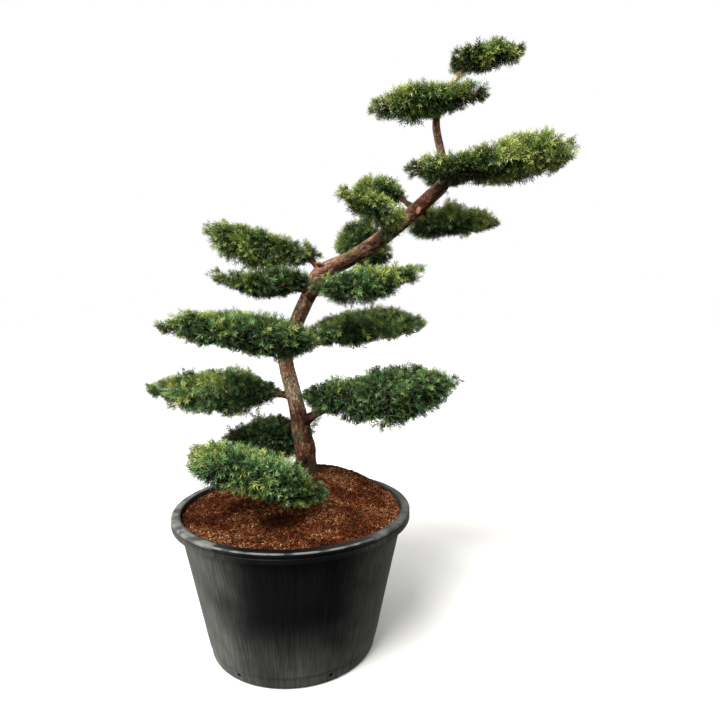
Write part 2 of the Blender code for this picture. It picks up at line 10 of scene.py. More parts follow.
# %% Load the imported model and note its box
import math
import random

import bmesh
import bpy
import numpy as np
from mathutils import Matrix, Vector, kdtree, noise


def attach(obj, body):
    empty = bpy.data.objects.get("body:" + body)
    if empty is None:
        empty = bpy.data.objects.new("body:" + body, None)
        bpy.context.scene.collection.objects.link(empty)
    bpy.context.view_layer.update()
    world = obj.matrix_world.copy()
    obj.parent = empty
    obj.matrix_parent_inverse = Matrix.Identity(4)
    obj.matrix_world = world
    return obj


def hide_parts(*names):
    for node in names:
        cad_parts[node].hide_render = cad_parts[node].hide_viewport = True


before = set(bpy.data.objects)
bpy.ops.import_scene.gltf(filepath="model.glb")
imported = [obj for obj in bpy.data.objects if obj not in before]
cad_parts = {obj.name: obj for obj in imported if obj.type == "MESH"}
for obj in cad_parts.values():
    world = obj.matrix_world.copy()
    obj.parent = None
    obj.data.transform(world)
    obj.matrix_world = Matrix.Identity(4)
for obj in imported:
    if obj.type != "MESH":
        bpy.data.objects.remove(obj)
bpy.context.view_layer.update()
UP = Vector((0.0, 0.0, 1.0))
GOLDEN_ANGLE = math.pi * (3.0 - math.sqrt(5.0))

# %% [markdown]
# ## The studio
#
# A plant this fine is judged by its outline, so it stands on a wide pale floor before a white background.
# Three large soft lights shape it, each a sun with a wide angle. The high one gives the tops of the clouds
# their light, the low one brushes their left ends and the pot, and a weak one from the front opens the
# shadows. The room itself is dim, and darker on the right, so that the gaps between the needles stay deep.
# The camera stands at half the plant's height and looks slightly down and to the right.

# %% Sizes of the studio
CAMERA_PLACE = (0.0, -1.3706, 0.8381)
CAMERA_YAW = 0.1256           # radians towards +X
CAMERA_PITCH = 0.0802         # radians below level
CAMERA_LENS = 27.03           # mm, on a 36 mm sensor
FLOOR_HALF = 40.0
LIGHTS = (                    # name, strength, width in degrees, direction towards it, seen in gloss
    ("high_soft_sun", 4.3, 30.0, (-0.50, -0.65, 1.0), True),
    ("low_left_softbox", 1.9, 60.0, (-1.0, -0.15, 0.28), True),
    ("front_fill", 1.25, 40.0, (-0.05, -1.0, 0.30), False))
BRIGHT_SIDE = (-0.60, 0.55, 0.60)
ROOM_EDGES = (-0.75, 0.30)    # cosines of the angle to it where the room starts and ends brightening
ROOM_LIGHT = (0.05, 0.72)     # brightness of the room on the dark side and on the bright side
print(len(LIGHTS), "lights, and a room", round(ROOM_LIGHT[1] / ROOM_LIGHT[0]), "times brighter on the left")


# %% Helpers for colours, nodes, materials and meshes
def linear(hex_colour):
    """Turn an sRGB colour such as "#4A6B32" into linear red, green, blue and alpha."""
    shares = [int(hex_colour[start:start + 2], 16) / 255.0 for start in (1, 3, 5)]
    return [s / 12.92 if s <= 0.04045 else ((s + 0.055) / 1.055) ** 2.4 for s in shares] + [1.0]


def add_node(tree, kind, settings=None, inputs=None, stops=()):
    """Add a node, set its properties, value or link its inputs, and give a colour ramp its stops.

    An input may be a number, a socket, or a node, which stands for its first output in use.
    """
    node = tree.nodes.new(kind)
    for name, value in (settings or {}).items():
        setattr(node, name, value)
    for key, value in (inputs or {}).items():
        if isinstance(value, bpy.types.Node):
            value = next(socket for socket in value.outputs if socket.enabled)
        if isinstance(value, bpy.types.NodeSocket):
            tree.links.new(value, node.inputs[key])
        else:
            node.inputs[key].default_value = value
    for number, (place, hex_colour) in enumerate(stops):
        ramp = node.color_ramp.elements
        stop = ramp[number] if number < 2 else ramp.new(place)
        stop.position = place
        stop.color = linear(hex_colour)
    return node


def new_material(name, colour, roughness, ior=1.5):
    """A Principled material with its uniform values set on the shader's own sockets."""
    material = bpy.data.materials.new(name)
    material.use_nodes = True
    shader = material.node_tree.nodes["Principled BSDF"]
    shader.inputs["Base Color"].default_value = linear(colour)
    shader.inputs["Roughness"].default_value = roughness
    shader.inputs["IOR"].default_value = ior
    return material, material.node_tree, shader


def add_piece(name, corners, faces, *materials, edges=()):
    """A mesh object at the origin with its shape in its mesh."""
    mesh = bpy.data.meshes.new(name)
    mesh.from_pydata([tuple(corner) for corner in corners], edges, [tuple(face) for face in faces])
    for material in materials:
        mesh.materials.append(material)
    piece = bpy.data.objects.new(name, mesh)
    bpy.context.scene.collection.objects.link(piece)
    return piece


# %% Floor and room
# Matt painted board: pale, even and a little soft, so that it gives the pot only a faint sheen.
board = new_material("painted_board", "#EDECE8", 0.9)[0]
floor_corners = [(x * FLOOR_HALF, y * FLOOR_HALF, 0.0) for x, y in ((-1, -1), (1, -1), (1, 1), (-1, 1))]
floor = add_piece("floor", floor_corners, [(0, 1, 2, 3)], board)
# Its bounce would fill the undersides of the clouds, and its mirror image would grey the pot.
floor.visible_diffuse = False
floor.visible_glossy = False

sky = bpy.data.worlds.new("pale_sky")
bpy.context.scene.world = sky
sky.use_nodes = True
direction = add_node(sky.node_tree, "ShaderNodeTexCoord").outputs["Generated"]
towards_light = add_node(sky.node_tree, "ShaderNodeVectorMath", {"operation": "DOT_PRODUCT"},
                         {0: direction, 1: Vector(BRIGHT_SIDE).normalized()})
brightness = add_node(sky.node_tree, "ShaderNodeMapRange", inputs={
    "Value": towards_light, "From Min": ROOM_EDGES[0], "From Max": ROOM_EDGES[1],
    "To Min": ROOM_LIGHT[0], "To Max": ROOM_LIGHT[1]})
seen = add_node(sky.node_tree, "ShaderNodeLightPath").outputs["Is Camera Ray"]
brightness = add_node(sky.node_tree, "ShaderNodeMath", {"operation": "MAXIMUM"}, {0: brightness, 1: seen})
background = sky.node_tree.nodes["Background"]
background.inputs["Color"].default_value = linear("#FFFFFF")
sky.node_tree.links.new(brightness.outputs[0], background.inputs["Strength"])
bpy.context.scene.view_settings.view_transform = "Standard"
print("Floor", 2.0 * FLOOR_HALF, "m wide, under the world", sky.name)

# %% Lights and camera
for label, strength, width, towards, in_gloss in LIGHTS:
    light_data = bpy.data.lights.new(label, "SUN")
    light_data.energy = strength
    light_data.angle = math.radians(width)
    light = bpy.data.objects.new(label, light_data)
    light.visible_glossy = in_gloss
    light.rotation_euler = Vector(towards).to_track_quat("Z", "Y").to_euler()
    bpy.context.scene.collection.objects.link(light)

camera_data = bpy.data.cameras.new("camera")
camera_data.sensor_width = 36.0
camera_data.lens = CAMERA_LENS
camera = bpy.data.objects.new("camera", camera_data)
camera.location = CAMERA_PLACE
camera.rotation_euler = (math.pi / 2.0 - CAMERA_PITCH, 0.0, -CAMERA_YAW)
bpy.context.scene.collection.objects.link(camera)
bpy.context.scene.camera = camera
print("Camera at", CAMERA_PLACE, "with a", CAMERA_LENS, "mm lens")

# %% [markdown]
# ## A way to run Geometry Nodes from a script
#
# Needles, twigs and soil fibres repeat thousands of times, and Geometry Nodes are made for that. A tree
# is built once with named inputs, run on a carrier mesh, and its result is kept as a plain mesh, so that
# nothing is left to work out later. Inputs are set by identifier, because names may repeat.

# %% Helpers for node trees
def new_tree(name, **inputs):
    """A Geometry Nodes tree with a mesh in and out and the named inputs: (socket type, value)."""
    tree = bpy.data.node_groups.new(name, "GeometryNodeTree")
    for way in ("INPUT", "OUTPUT"):
        tree.interface.new_socket("Geometry", in_out=way, socket_type="NodeSocketGeometry")
    for label, (kind, value) in inputs.items():
        socket = tree.interface.new_socket(label, in_out="INPUT", socket_type="NodeSocket" + kind)
        if value is not None:
            socket.default_value = value
    return tree, add_node(tree, "NodeGroupInput")


def finish_tree(tree, geometry, tints, index):
    """End a tree: realize its instances, give each tint its faces, and put the result out."""
    last = add_node(tree, "GeometryNodeRealizeInstances", inputs={"Geometry": geometry})
    for number, material in enumerate(tints):
        chosen = add_node(tree, "FunctionNodeCompare", {"data_type": "INT", "operation": "EQUAL"},
                          {2: index, 3: number})
        last = add_node(tree, "GeometryNodeSetMaterial",
                        inputs={"Geometry": last, "Selection": chosen, "Material": material})
    add_node(tree, "NodeGroupOutput", inputs={0: last})


def apply_modifier(piece, modifier):
    """The mesh that a piece's modifier makes. The modifier is then removed."""
    graph = bpy.context.evaluated_depsgraph_get()
    mesh = bpy.data.meshes.new_from_object(piece.evaluated_get(graph), depsgraph=graph)
    piece.modifiers.remove(modifier)
    return mesh


def grow_mesh(name, carrier, tree, **values):
    """Run a tree on a carrier object and keep the result as a plain mesh object."""
    modifier = carrier.modifiers.new(tree.name, "NODES")
    modifier.node_group = tree
    for item in tree.interface.items_tree:
        if item.in_out == "INPUT" and item.name in values:
            modifier[item.identifier] = values[item.name]
    mesh = apply_modifier(carrier, modifier)
    bpy.data.objects.remove(carrier)
    for label in [a.name for a in mesh.attributes if not a.is_internal and not a.is_required]:
        if label not in ("material_index", "sharp_face", "sharp_edge"):
            mesh.attributes.remove(mesh.attributes[label])
    mesh.name = name
    piece = bpy.data.objects.new(name, mesh)
    bpy.context.scene.collection.objects.link(piece)
    return piece


def set_attribute(mesh, name, kind, values, domain="POINT"):
    """Store one number or vector on each point or face of a mesh."""
    layer = mesh.attributes.new(name, kind, domain)
    layer.data.foreach_set("vector" if kind == "FLOAT_VECTOR" else "value", np.ravel(values))


def count_triangles(piece):
    return sum(len(face.vertices) - 2 for face in piece.data.polygons)


# %% [markdown]
# ## The trunk's line
#
# The trunk of a trained yew bends where it was wired when young, and it tapers between the bends. Its line
# is a smooth curve through sixteen measured places. The same places made the solid trunk, so the bark laid
# over it falls where the solid is.

# %% Bends, radii and the smooth path
TRUNK_BENDS = (               # x, y, z and diameter
    (0.038, 0.140, 0.394, 0.058),
    (0.037, 0.139, 0.420, 0.054),
    (0.026, 0.134, 0.512, 0.051),
    (0.010, 0.125, 0.600, 0.041),
    (-0.018, 0.111, 0.728, 0.039),
    (0.008, 0.100, 0.808, 0.037),
    (0.048, 0.090, 0.895, 0.038),
    (0.080, 0.083, 0.952, 0.042),
    (0.160, 0.071, 0.994, 0.038),
    (0.266, 0.055, 1.065, 0.037),
    (0.360, 0.040, 1.148, 0.036),
    (0.398, 0.034, 1.188, 0.032),
    (0.392, 0.031, 1.245, 0.020),
    (0.373, 0.024, 1.330, 0.019),
    (0.384, 0.015, 1.392, 0.017),
    (0.430, 0.007, 1.452, 0.012),
)
SOLID_CUTS = 3                # rings between bends in the solid trunk
BARK_CUTS = 24                # and in the finer path that the bark follows
FLARE_HEIGHT = 0.060
FLARE = 0.12                  # extra radius at the soil, as a share
FLARE_LOBES = 5


def smooth_path(bends, cuts):
    """Points and radii on a Catmull-Rom curve through the bends."""
    stations = [(Vector(bend[:3]), bend[3] / 2.0) for bend in bends]
    first = (2.0 * stations[0][0] - stations[1][0], stations[0][1])
    last = (2.0 * stations[-1][0] - stations[-2][0], stations[-1][1])
    line = [first] + stations + [last]
    points, radii = [], []
    for before, here, after, beyond in zip(line, line[1:], line[2:], line[3:]):
        for step in range(cuts):
            t = step / cuts
            points.append(0.5 * (2.0 * here[0] + (after[0] - before[0]) * t
                          + (2.0 * before[0] - 5.0 * here[0] + 4.0 * after[0] - beyond[0]) * t * t
                          + (3.0 * here[0] - before[0] - 3.0 * after[0] + beyond[0]) * t ** 3))
            radii.append(here[1] + (after[1] - here[1]) * t)
    return points + [stations[-1][0]], radii + [stations[-1][1]]


SOLID_POINTS, SOLID_RADII = smooth_path(TRUNK_BENDS, SOLID_CUTS)
SOLID_POINTS[1] = Vector((SOLID_POINTS[0].x, SOLID_POINTS[0].y, SOLID_POINTS[1].z))


def trunk_at(height):
    """The trunk's centre and radius at a height."""
    for index in range(len(SOLID_POINTS) - 1):
        low, high = SOLID_POINTS[index], SOLID_POINTS[index + 1]
        if low.z <= height <= high.z:
            share = (height - low.z) / (high.z - low.z)
            radius = SOLID_RADII[index] + share * (SOLID_RADII[index + 1] - SOLID_RADII[index])
            return low.lerp(high, share), radius
    return SOLID_POINTS[-1].copy(), SOLID_RADII[-1]


print("Trunk line:", len(SOLID_POINTS), "points up to", round(SOLID_POINTS[-1].z, 3))

# %% [markdown]
# ## Bark
#
# Old yew bark is thin. It peels in scales a little longer than wide, leaves dark cracks between them, and
# shows red wood where a scale has just dropped. A picture wrapped round the trunk would smear at the bends,
# so the scales are real relief: a fine tube whose rings follow the trunk's line, pushed out or in by a
# Voronoi pattern of cells stretched along the grain. Each point also keeps what it is (scale, crack, moss,
# fresh red wood), and the material mixes its colours from that.

# %% Sizes of the bark's relief
SCALE_WIDTH = 0.0065          # of one bark scale, across the grain
SCALE_LENGTH = 0.017          # and along it
SCALE_LIFT = 0.0017           # from a crack's floor to a scale's face
SCALE_WARP = 0.9              # how crooked the scales are, in scale widths
SCALE_RELIEF = (0.55, 0.40, 0.25)    # shares of the lift: from the crack, by chance, and as a tilt
FULL_SCALES = 0.018           # on a limb thinner than this radius the scales are lower
CRACK_WIDTH = 0.20            # in scale widths
FLUTES = (0.050, 0.030)       # depth of three broad and of five narrow hollows, as shares of the radius
FLUTED = 0.016                # a limb thinner than this radius is rounder
DENTS = 0.05                  # slow dents, as a share of the radius
KNOT_REACH = 2.5              # a knot is felt this many of its sizes away
KNOT_HOLLOW = (0.75, 0.42)    # depth and width of the dimple in it, as shares
KNOTS = (                     # place on the surface, size, lift
    ((0.012, 0.110, 0.516), 0.017, 0.0065),
    ((0.052, 0.126, 0.470), 0.020, 0.0060),
    ((0.050, 0.118, 0.552), 0.014, 0.0040),
    ((0.020, 0.100, 0.640), 0.012, 0.0035),
    ((-0.036, 0.100, 0.765), 0.013, 0.0030),
    ((0.060, 0.068, 0.915), 0.014, 0.0040),
    ((0.222, 0.040, 1.050), 0.013, 0.0030),
    ((0.380, 0.020, 1.190), 0.014, 0.0035),
)
PEELED = (                    # place on the surface, half width, half height
    ((-0.013, 0.093, 0.698), 0.012, 0.019),
    ((0.008, 0.095, 0.600), 0.004, 0.010),
    ((0.330, 0.026, 1.110), 0.006, 0.012),
)
# Height bands partly of the bark's own red and pale tones and partly of painted light and shade: paler where
# the trunk is lit, redder and darker where the clouds shade it.
WARM_AND_SHADED_HEIGHTS = (0.45, 0.56, 0.62, 0.78, 0.90, 1.00, 1.25, 1.45)
WARM_AND_SHADED_SHARES = (0.78, 0.68, 0.10, 0.05, 0.50, 0.82, 0.62, 0.05)    # how red and dark the bark is there
PALE_AND_LIT_HEIGHTS = (0.45, 0.56, 0.62, 0.74, 0.82, 1.22, 1.32)
PALE_AND_LIT_SHARES = (-0.35, -0.05, 0.80, 0.70, 0.0, 0.0, 0.45)          # and how much paler its scales are
MOSSY = (((0.150, 0.060, 1.008), 0.022), ((0.012, 0.112, 0.510), 0.016), ((0.245, 0.045, 1.070), 0.015),
         ((0.056, 0.120, 0.425), 0.020), ((-0.034, 0.105, 0.790), 0.012))
BARK_SEED = 5
noise.seed_set(BARK_SEED)     # or the vector noise below would start from the clock
print("Scales", SCALE_WIDTH * 1000.0, "mm wide,", len(KNOTS), "knots and", len(PEELED), "peeled places")


# %% Rings along a limb
def even_rings(points, radii, gap):
    """Places, radii and lengths at even steps along a line."""
    line = np.array([tuple(point) for point in points])
    lengths = np.concatenate([[0.0], np.cumsum(np.linalg.norm(np.diff(line, axis=0), axis=1))])
    marks = np.linspace(0.0, lengths[-1], max(3, round(lengths[-1] / gap)))
    places = np.stack([np.interp(marks, lengths, line[:, axis]) for axis in range(3)], axis=1)
    return places, np.interp(marks, lengths, radii), marks


def ring_frames(places):
    """Two directions across the line at each ring, carried along without twisting."""
    heading = np.gradient(places, axis=0)
    heading /= np.linalg.norm(heading, axis=1)[:, None]
    first = np.zeros_like(places)
    across = np.array((1.0, 0.0, 0.0)) if abs(heading[0][0]) < 0.9 else np.array((0.0, 1.0, 0.0))
    for index, along in enumerate(heading):
        across = across - along * across.dot(along)
        across /= np.linalg.norm(across)
        first[index] = across
    return first, np.cross(heading, first)


# %% A tube with scales, cracks, knots and moss
def bark_tube(points, radii, sides, gap, seed, scale=1.0, foot=None, tone=1.0):
    """Corners, faces and bark marks of one closed limb with relief."""
    places, ring_radii, marks = even_rings(points, radii, gap)
    first, second = ring_frames(places)
    corners, layers = [], {"flake": [], "crack": [], "moss": [], "peeled": [], "warm": [], "grain": []}
    for place, radius, mark, side_x, side_y in zip(places, ring_radii, marks, first, second):
        for number in range(sides):
            angle = math.tau * number / sides
            spoke = side_x * math.cos(angle) + side_y * math.sin(angle)
            flute = (FLUTES[0] * math.cos(3.0 * angle + 2.0 * math.sin(9.0 * mark) + seed)
                     + FLUTES[1] * math.cos(5.0 * angle + 7.0 * mark + 2.0 * seed))
            grain = Vector((radius * math.cos(angle), radius * math.sin(angle), mark + 3.0 * seed))
            swell = noise.noise(Vector((grain.x * 30.0, grain.y * 30.0, grain.z * 16.0)))
            reach = radius * (1.0 + flute * min(1.0, radius / FLUTED) + DENTS * swell)
            if foot is not None and place[2] - foot < FLARE_HEIGHT:
                rise = max(0.0, (place[2] - foot) / FLARE_HEIGHT)
                lobe = 0.65 + 0.35 * math.cos(FLARE_LOBES * math.atan2(spoke[1], spoke[0]))
                reach += radius * FLARE * lobe * (1.0 - rise) ** 2
            spot = Vector(place + spoke * reach)
            cell = Vector((grain.x / SCALE_WIDTH, grain.y / SCALE_WIDTH, grain.z / SCALE_LENGTH)) / scale
            cell += SCALE_WARP * noise.noise_vector(cell * 0.55)
            gaps, centres = noise.voronoi(cell)
            edge = min(1.0, (gaps[1] - gaps[0]) / CRACK_WIDTH)
            chance = 0.5 + 0.5 * noise.cell(centres[0] * 17.3)
            tilt = min(max(centres[0].z - cell.z, -1.0), 1.0)
            lift = (SCALE_RELIEF[0] * edge + SCALE_RELIEF[1] * (chance - 0.5)
                    + SCALE_RELIEF[2] * tilt * edge)
            peel = 0.0
            for centre, half_width, half_height in PEELED:
                offset = spot - Vector(centre)
                span = math.hypot(math.hypot(offset.x, offset.y) / half_width, offset.z / half_height)
                peel = max(peel, min(1.0, max(0.0, 1.25 - span + 0.25 * swell) * 4.0))
            moss = 0.0
            for centre, size in MOSSY:
                distance = (spot - Vector(centre)).length / size
                moss = max(moss, math.exp(-distance ** 2) * (0.7 + 0.6 * swell))
            knot = 0.0
            for centre, size, height in KNOTS:
                distance = (spot - Vector(centre)).length / size
                if distance < KNOT_REACH:
                    hollow = KNOT_HOLLOW[0] * math.exp(-(distance / KNOT_HOLLOW[1]) ** 2)
                    knot += height * (math.exp(-distance ** 2) - hollow)
            relief = SCALE_LIFT * min(1.0, radius / FULL_SCALES) ** 0.7 * lift * (1.0 - 0.75 * peel)
            corners.append(place + spoke * (reach + relief + knot))
            red = noise.noise(Vector((grain.x * 45.0 + 7.0, grain.y * 45.0, grain.z * 14.0)))
            pale_and_lit = float(np.interp(place[2], PALE_AND_LIT_HEIGHTS, PALE_AND_LIT_SHARES))
            layers["flake"].append(tone * min(max(chance + 0.60 * swell + pale_and_lit, 0.0), 1.0))
            layers["crack"].append((1.0 - edge) * (1.0 - 0.7 * peel))
            layers["moss"].append(min(max(moss, 0.0), 1.0))
            layers["peeled"].append(max(peel, min(0.8, max(0.0, red - 0.52) * 5.0)))
            warm = float(np.interp(place[2], WARM_AND_SHADED_HEIGHTS, WARM_AND_SHADED_SHARES)) + 0.4 * red
            layers["warm"].append(min(max(warm + 0.5 * (1.0 - tone), 0.0), 1.0))
            layers["grain"].append(tuple(grain))
    rings = len(places)
    faces = [(r * sides + n, r * sides + (n + 1) % sides, (r + 1) * sides + (n + 1) % sides,
              (r + 1) * sides + n) for r in range(rings - 1) for n in range(sides)]
    for ring, turn in ((0, 1), (rings - 1, -1)):
        corners.append(places[ring])
        for layer in layers.values():
            layer.append(layer[ring * sides])
        hub = len(corners) - 1
        rim = [ring * sides + n for n in range(sides)]
        faces += [(hub, rim[(n + 1) % sides], rim[n])[::turn] for n in range(sides)]
    return corners, faces, layers


# %% Limbs joined into one piece
def join_limbs(name, limbs, material):
    """Several bark tubes as one piece that keeps their bark marks."""
    corners, faces, layers = [], [], {}
    for limb_corners, limb_faces, limb_layers in limbs:
        faces += [tuple(index + len(corners) for index in face) for face in limb_faces]
        corners += limb_corners
        for label, values in limb_layers.items():
            layers.setdefault(label, []).extend(values)
    piece = add_piece(name, corners, faces, material)
    for label, values in layers.items():
        set_attribute(piece.data, label, "FLOAT_VECTOR" if label == "grain" else "FLOAT", values)
    piece.data.shade_smooth()
    print(name, "has", count_triangles(piece), "triangles")
    return piece


# %% [markdown]
# ## The bark's colours
#
# Yew bark is pale brown where it has weathered, red-brown where it is younger, and almost black in the
# cracks.
# It has no gloss. The colours are mixed by the marks that the relief left on each point, and a fine fibre
# pattern that runs with the grain gives each scale its own broken surface. Bands along the trunk's height mix
# painted light and shade with the bark's own tones: paler where the trunk stands in light, redder and darker
# where the clouds shade it. The boughs are painted darker still, as painted shade.

# %% Material: weathered yew bark
FIBRE = 0.0022                # width of one bark fibre; real ones are finer and would not show
SPECK = 0.0052                # across one small scale on the larger ones
SPECK_STRETCH = 0.50          # they are twice as long as wide

# Weathered bark: rough, matt and broken, with a pale bloom on the raised scales.
bark, tree, shader = new_material("weathered_yew_bark", "#7A6048", 0.88)
marks = {label: add_node(tree, "ShaderNodeAttribute", {"attribute_name": label}).outputs
         for label in ("flake", "crack", "moss", "peeled", "warm", "grain")}
stretched = add_node(tree, "ShaderNodeVectorMath", {"operation": "MULTIPLY"},
                     {0: marks["grain"]["Vector"], 1: (1.0, 1.0, 0.22)})
fibre = add_node(tree, "ShaderNodeTexNoise", inputs={"Vector": stretched, "Scale": 1.0 / FIBRE,
                                                    "Detail": 4.0, "Roughness": 0.65})
speck_place = add_node(tree, "ShaderNodeVectorMath", {"operation": "MULTIPLY"},
                       {0: marks["grain"]["Vector"], 1: (1.0, 1.0, SPECK_STRETCH)})
specks = add_node(tree, "ShaderNodeTexVoronoi", inputs={"Vector": speck_place, "Scale": 1.0 / SPECK})
speck_edges = add_node(tree, "ShaderNodeTexVoronoi", {"feature": "DISTANCE_TO_EDGE"},
                       {"Vector": speck_place, "Scale": 1.0 / SPECK}).outputs["Distance"]
speck = add_node(tree, "ShaderNodeSeparateColor", inputs={0: specks.outputs["Color"]}).outputs["Red"]
tone = add_node(tree, "ShaderNodeMath", {"operation": "MULTIPLY_ADD"}, {0: speck, 1: 0.45, 2: -0.22})
tone = add_node(tree, "ShaderNodeMath", {"operation": "ADD"}, {0: tone, 1: marks["flake"]["Fac"]})
bloom = add_node(tree, "ShaderNodeValToRGB", inputs={0: tone}, stops=(
    (0.05, "#6A503C"), (0.38, "#AC8868"), (0.68, "#D6B18C"), (0.95, "#EFD2AE")))
red = add_node(tree, "ShaderNodeMix", {"data_type": "RGBA", "blend_type": "MULTIPLY"},
               {0: 1.0, 6: bloom, 7: linear("#844630")})
colour = add_node(tree, "ShaderNodeMix", {"data_type": "RGBA"}, {0: marks["warm"]["Fac"], 6: bloom, 7: red})
for label, hex_colour in (("peeled", "#E8A684"), ("moss", "#59602F")):
    colour = add_node(tree, "ShaderNodeMix", {"data_type": "RGBA"},
                      {0: marks[label]["Fac"], 6: colour, 7: linear(hex_colour)})
shade = add_node(tree, "ShaderNodeMapRange", inputs={
    "Value": fibre, "From Min": 0.3, "From Max": 0.7, "To Min": 0.60, "To Max": 1.60})
colour = add_node(tree, "ShaderNodeMix", {"data_type": "RGBA", "blend_type": "MULTIPLY"},
                  {0: 1.0, 6: colour, 7: shade})
fine_crack = add_node(tree, "ShaderNodeMapRange", inputs={
    "Value": speck_edges, "From Min": 0.02, "From Max": 0.16, "To Min": 0.80, "To Max": 0.0})
depth = add_node(tree, "ShaderNodeMath", {"operation": "POWER"}, {0: marks["crack"]["Fac"], 1: 1.6})
depth = add_node(tree, "ShaderNodeMath", {"operation": "MAXIMUM"}, {0: depth, 1: fine_crack})
colour = add_node(tree, "ShaderNodeMix", {"data_type": "RGBA"},
                  {0: depth, 6: colour, 7: linear("#1A0E06")})
tree.links.new(colour.outputs[2], shader.inputs["Base Color"])
raised = add_node(tree, "ShaderNodeMath", {"operation": "SUBTRACT"}, {0: fibre, 1: fine_crack})
bump = add_node(tree, "ShaderNodeBump", inputs={"Height": raised, "Strength": 0.8, "Distance": 0.0008})
tree.links.new(bump.outputs[0], shader.inputs["Normal"])
print("Material", bark.name)

# %% [markdown]
# ## The trunk
#
# The trunk starts a little below the soil, so that the loose fibre closes round its flare. Beside it grow
# the short dead ends that pruning leaves: a dark spur on the outside of the main bend and a thin dry twig
# on the left of the leader.

# %% Make the trunk
FOOT_DEPTH = 0.009            # how far the flare goes into the soil
TRUNK_SIDES = 96
RING_GAP = 0.0026

bark_points, bark_radii = smooth_path(TRUNK_BENDS, BARK_CUTS)
foot = SOLID_POINTS[0]
bark_points = [Vector((foot.x, foot.y, foot.z - FOOT_DEPTH))] + bark_points
bark_radii = [bark_radii[0]] + bark_radii
SPUR = ((0.092, 0.078, 0.960), (0.080, 0.070, 0.972), (0.066, 0.064, 0.979))
DRY_TWIG = ((0.394, 0.026, 1.196), (0.380, 0.018, 1.203), (0.364, 0.014, 1.204))
trunk = join_limbs("trunk_bark", [
    bark_tube(bark_points, bark_radii, TRUNK_SIDES, RING_GAP, 0.0, foot=foot.z),
    bark_tube([Vector(p) for p in SPUR], [0.0110, 0.0085, 0.0040], 16, 0.002, 1.0, 0.5, tone=0.15),
    bark_tube([Vector(p) for p in DRY_TWIG], [0.0040, 0.0028, 0.0012], 12, 0.002, 2.0, 0.5, tone=0.5),
], bark)

# %% [markdown]
# ## The clouds of needles: their forms
#
# Each cloud is clipped to a smooth form: a root end near the trunk, a tip, a widest place between them, and
# a different height above and below. The same sizes made the solid clouds. Everything that grows below is
# aimed at this form, as a gardener's shears would leave it.

# %% Sizes of the nineteen forms
CORE_SHARE = 0.72             # of the form, for the solid cloud's core
CORE_MARGIN = 0.06            # added to it where a stem starts
STEM_RUN = 0.006              # of a stem that shows outside the core
NEAR_TRUNK = 0.014            # a stem that starts closer than this needs no bough
ABOVE_TIP = 99.0              # a height past the leader's tip
STRAIGHT = 0.006              # a bough's last stretch, in line with its cloud's stem
PAD_COLUMNS = ("name", "joins", "bough", "entry", "root", "tip", "sag", "half_width", "rise", "drop",
               "fullest", "blunt")
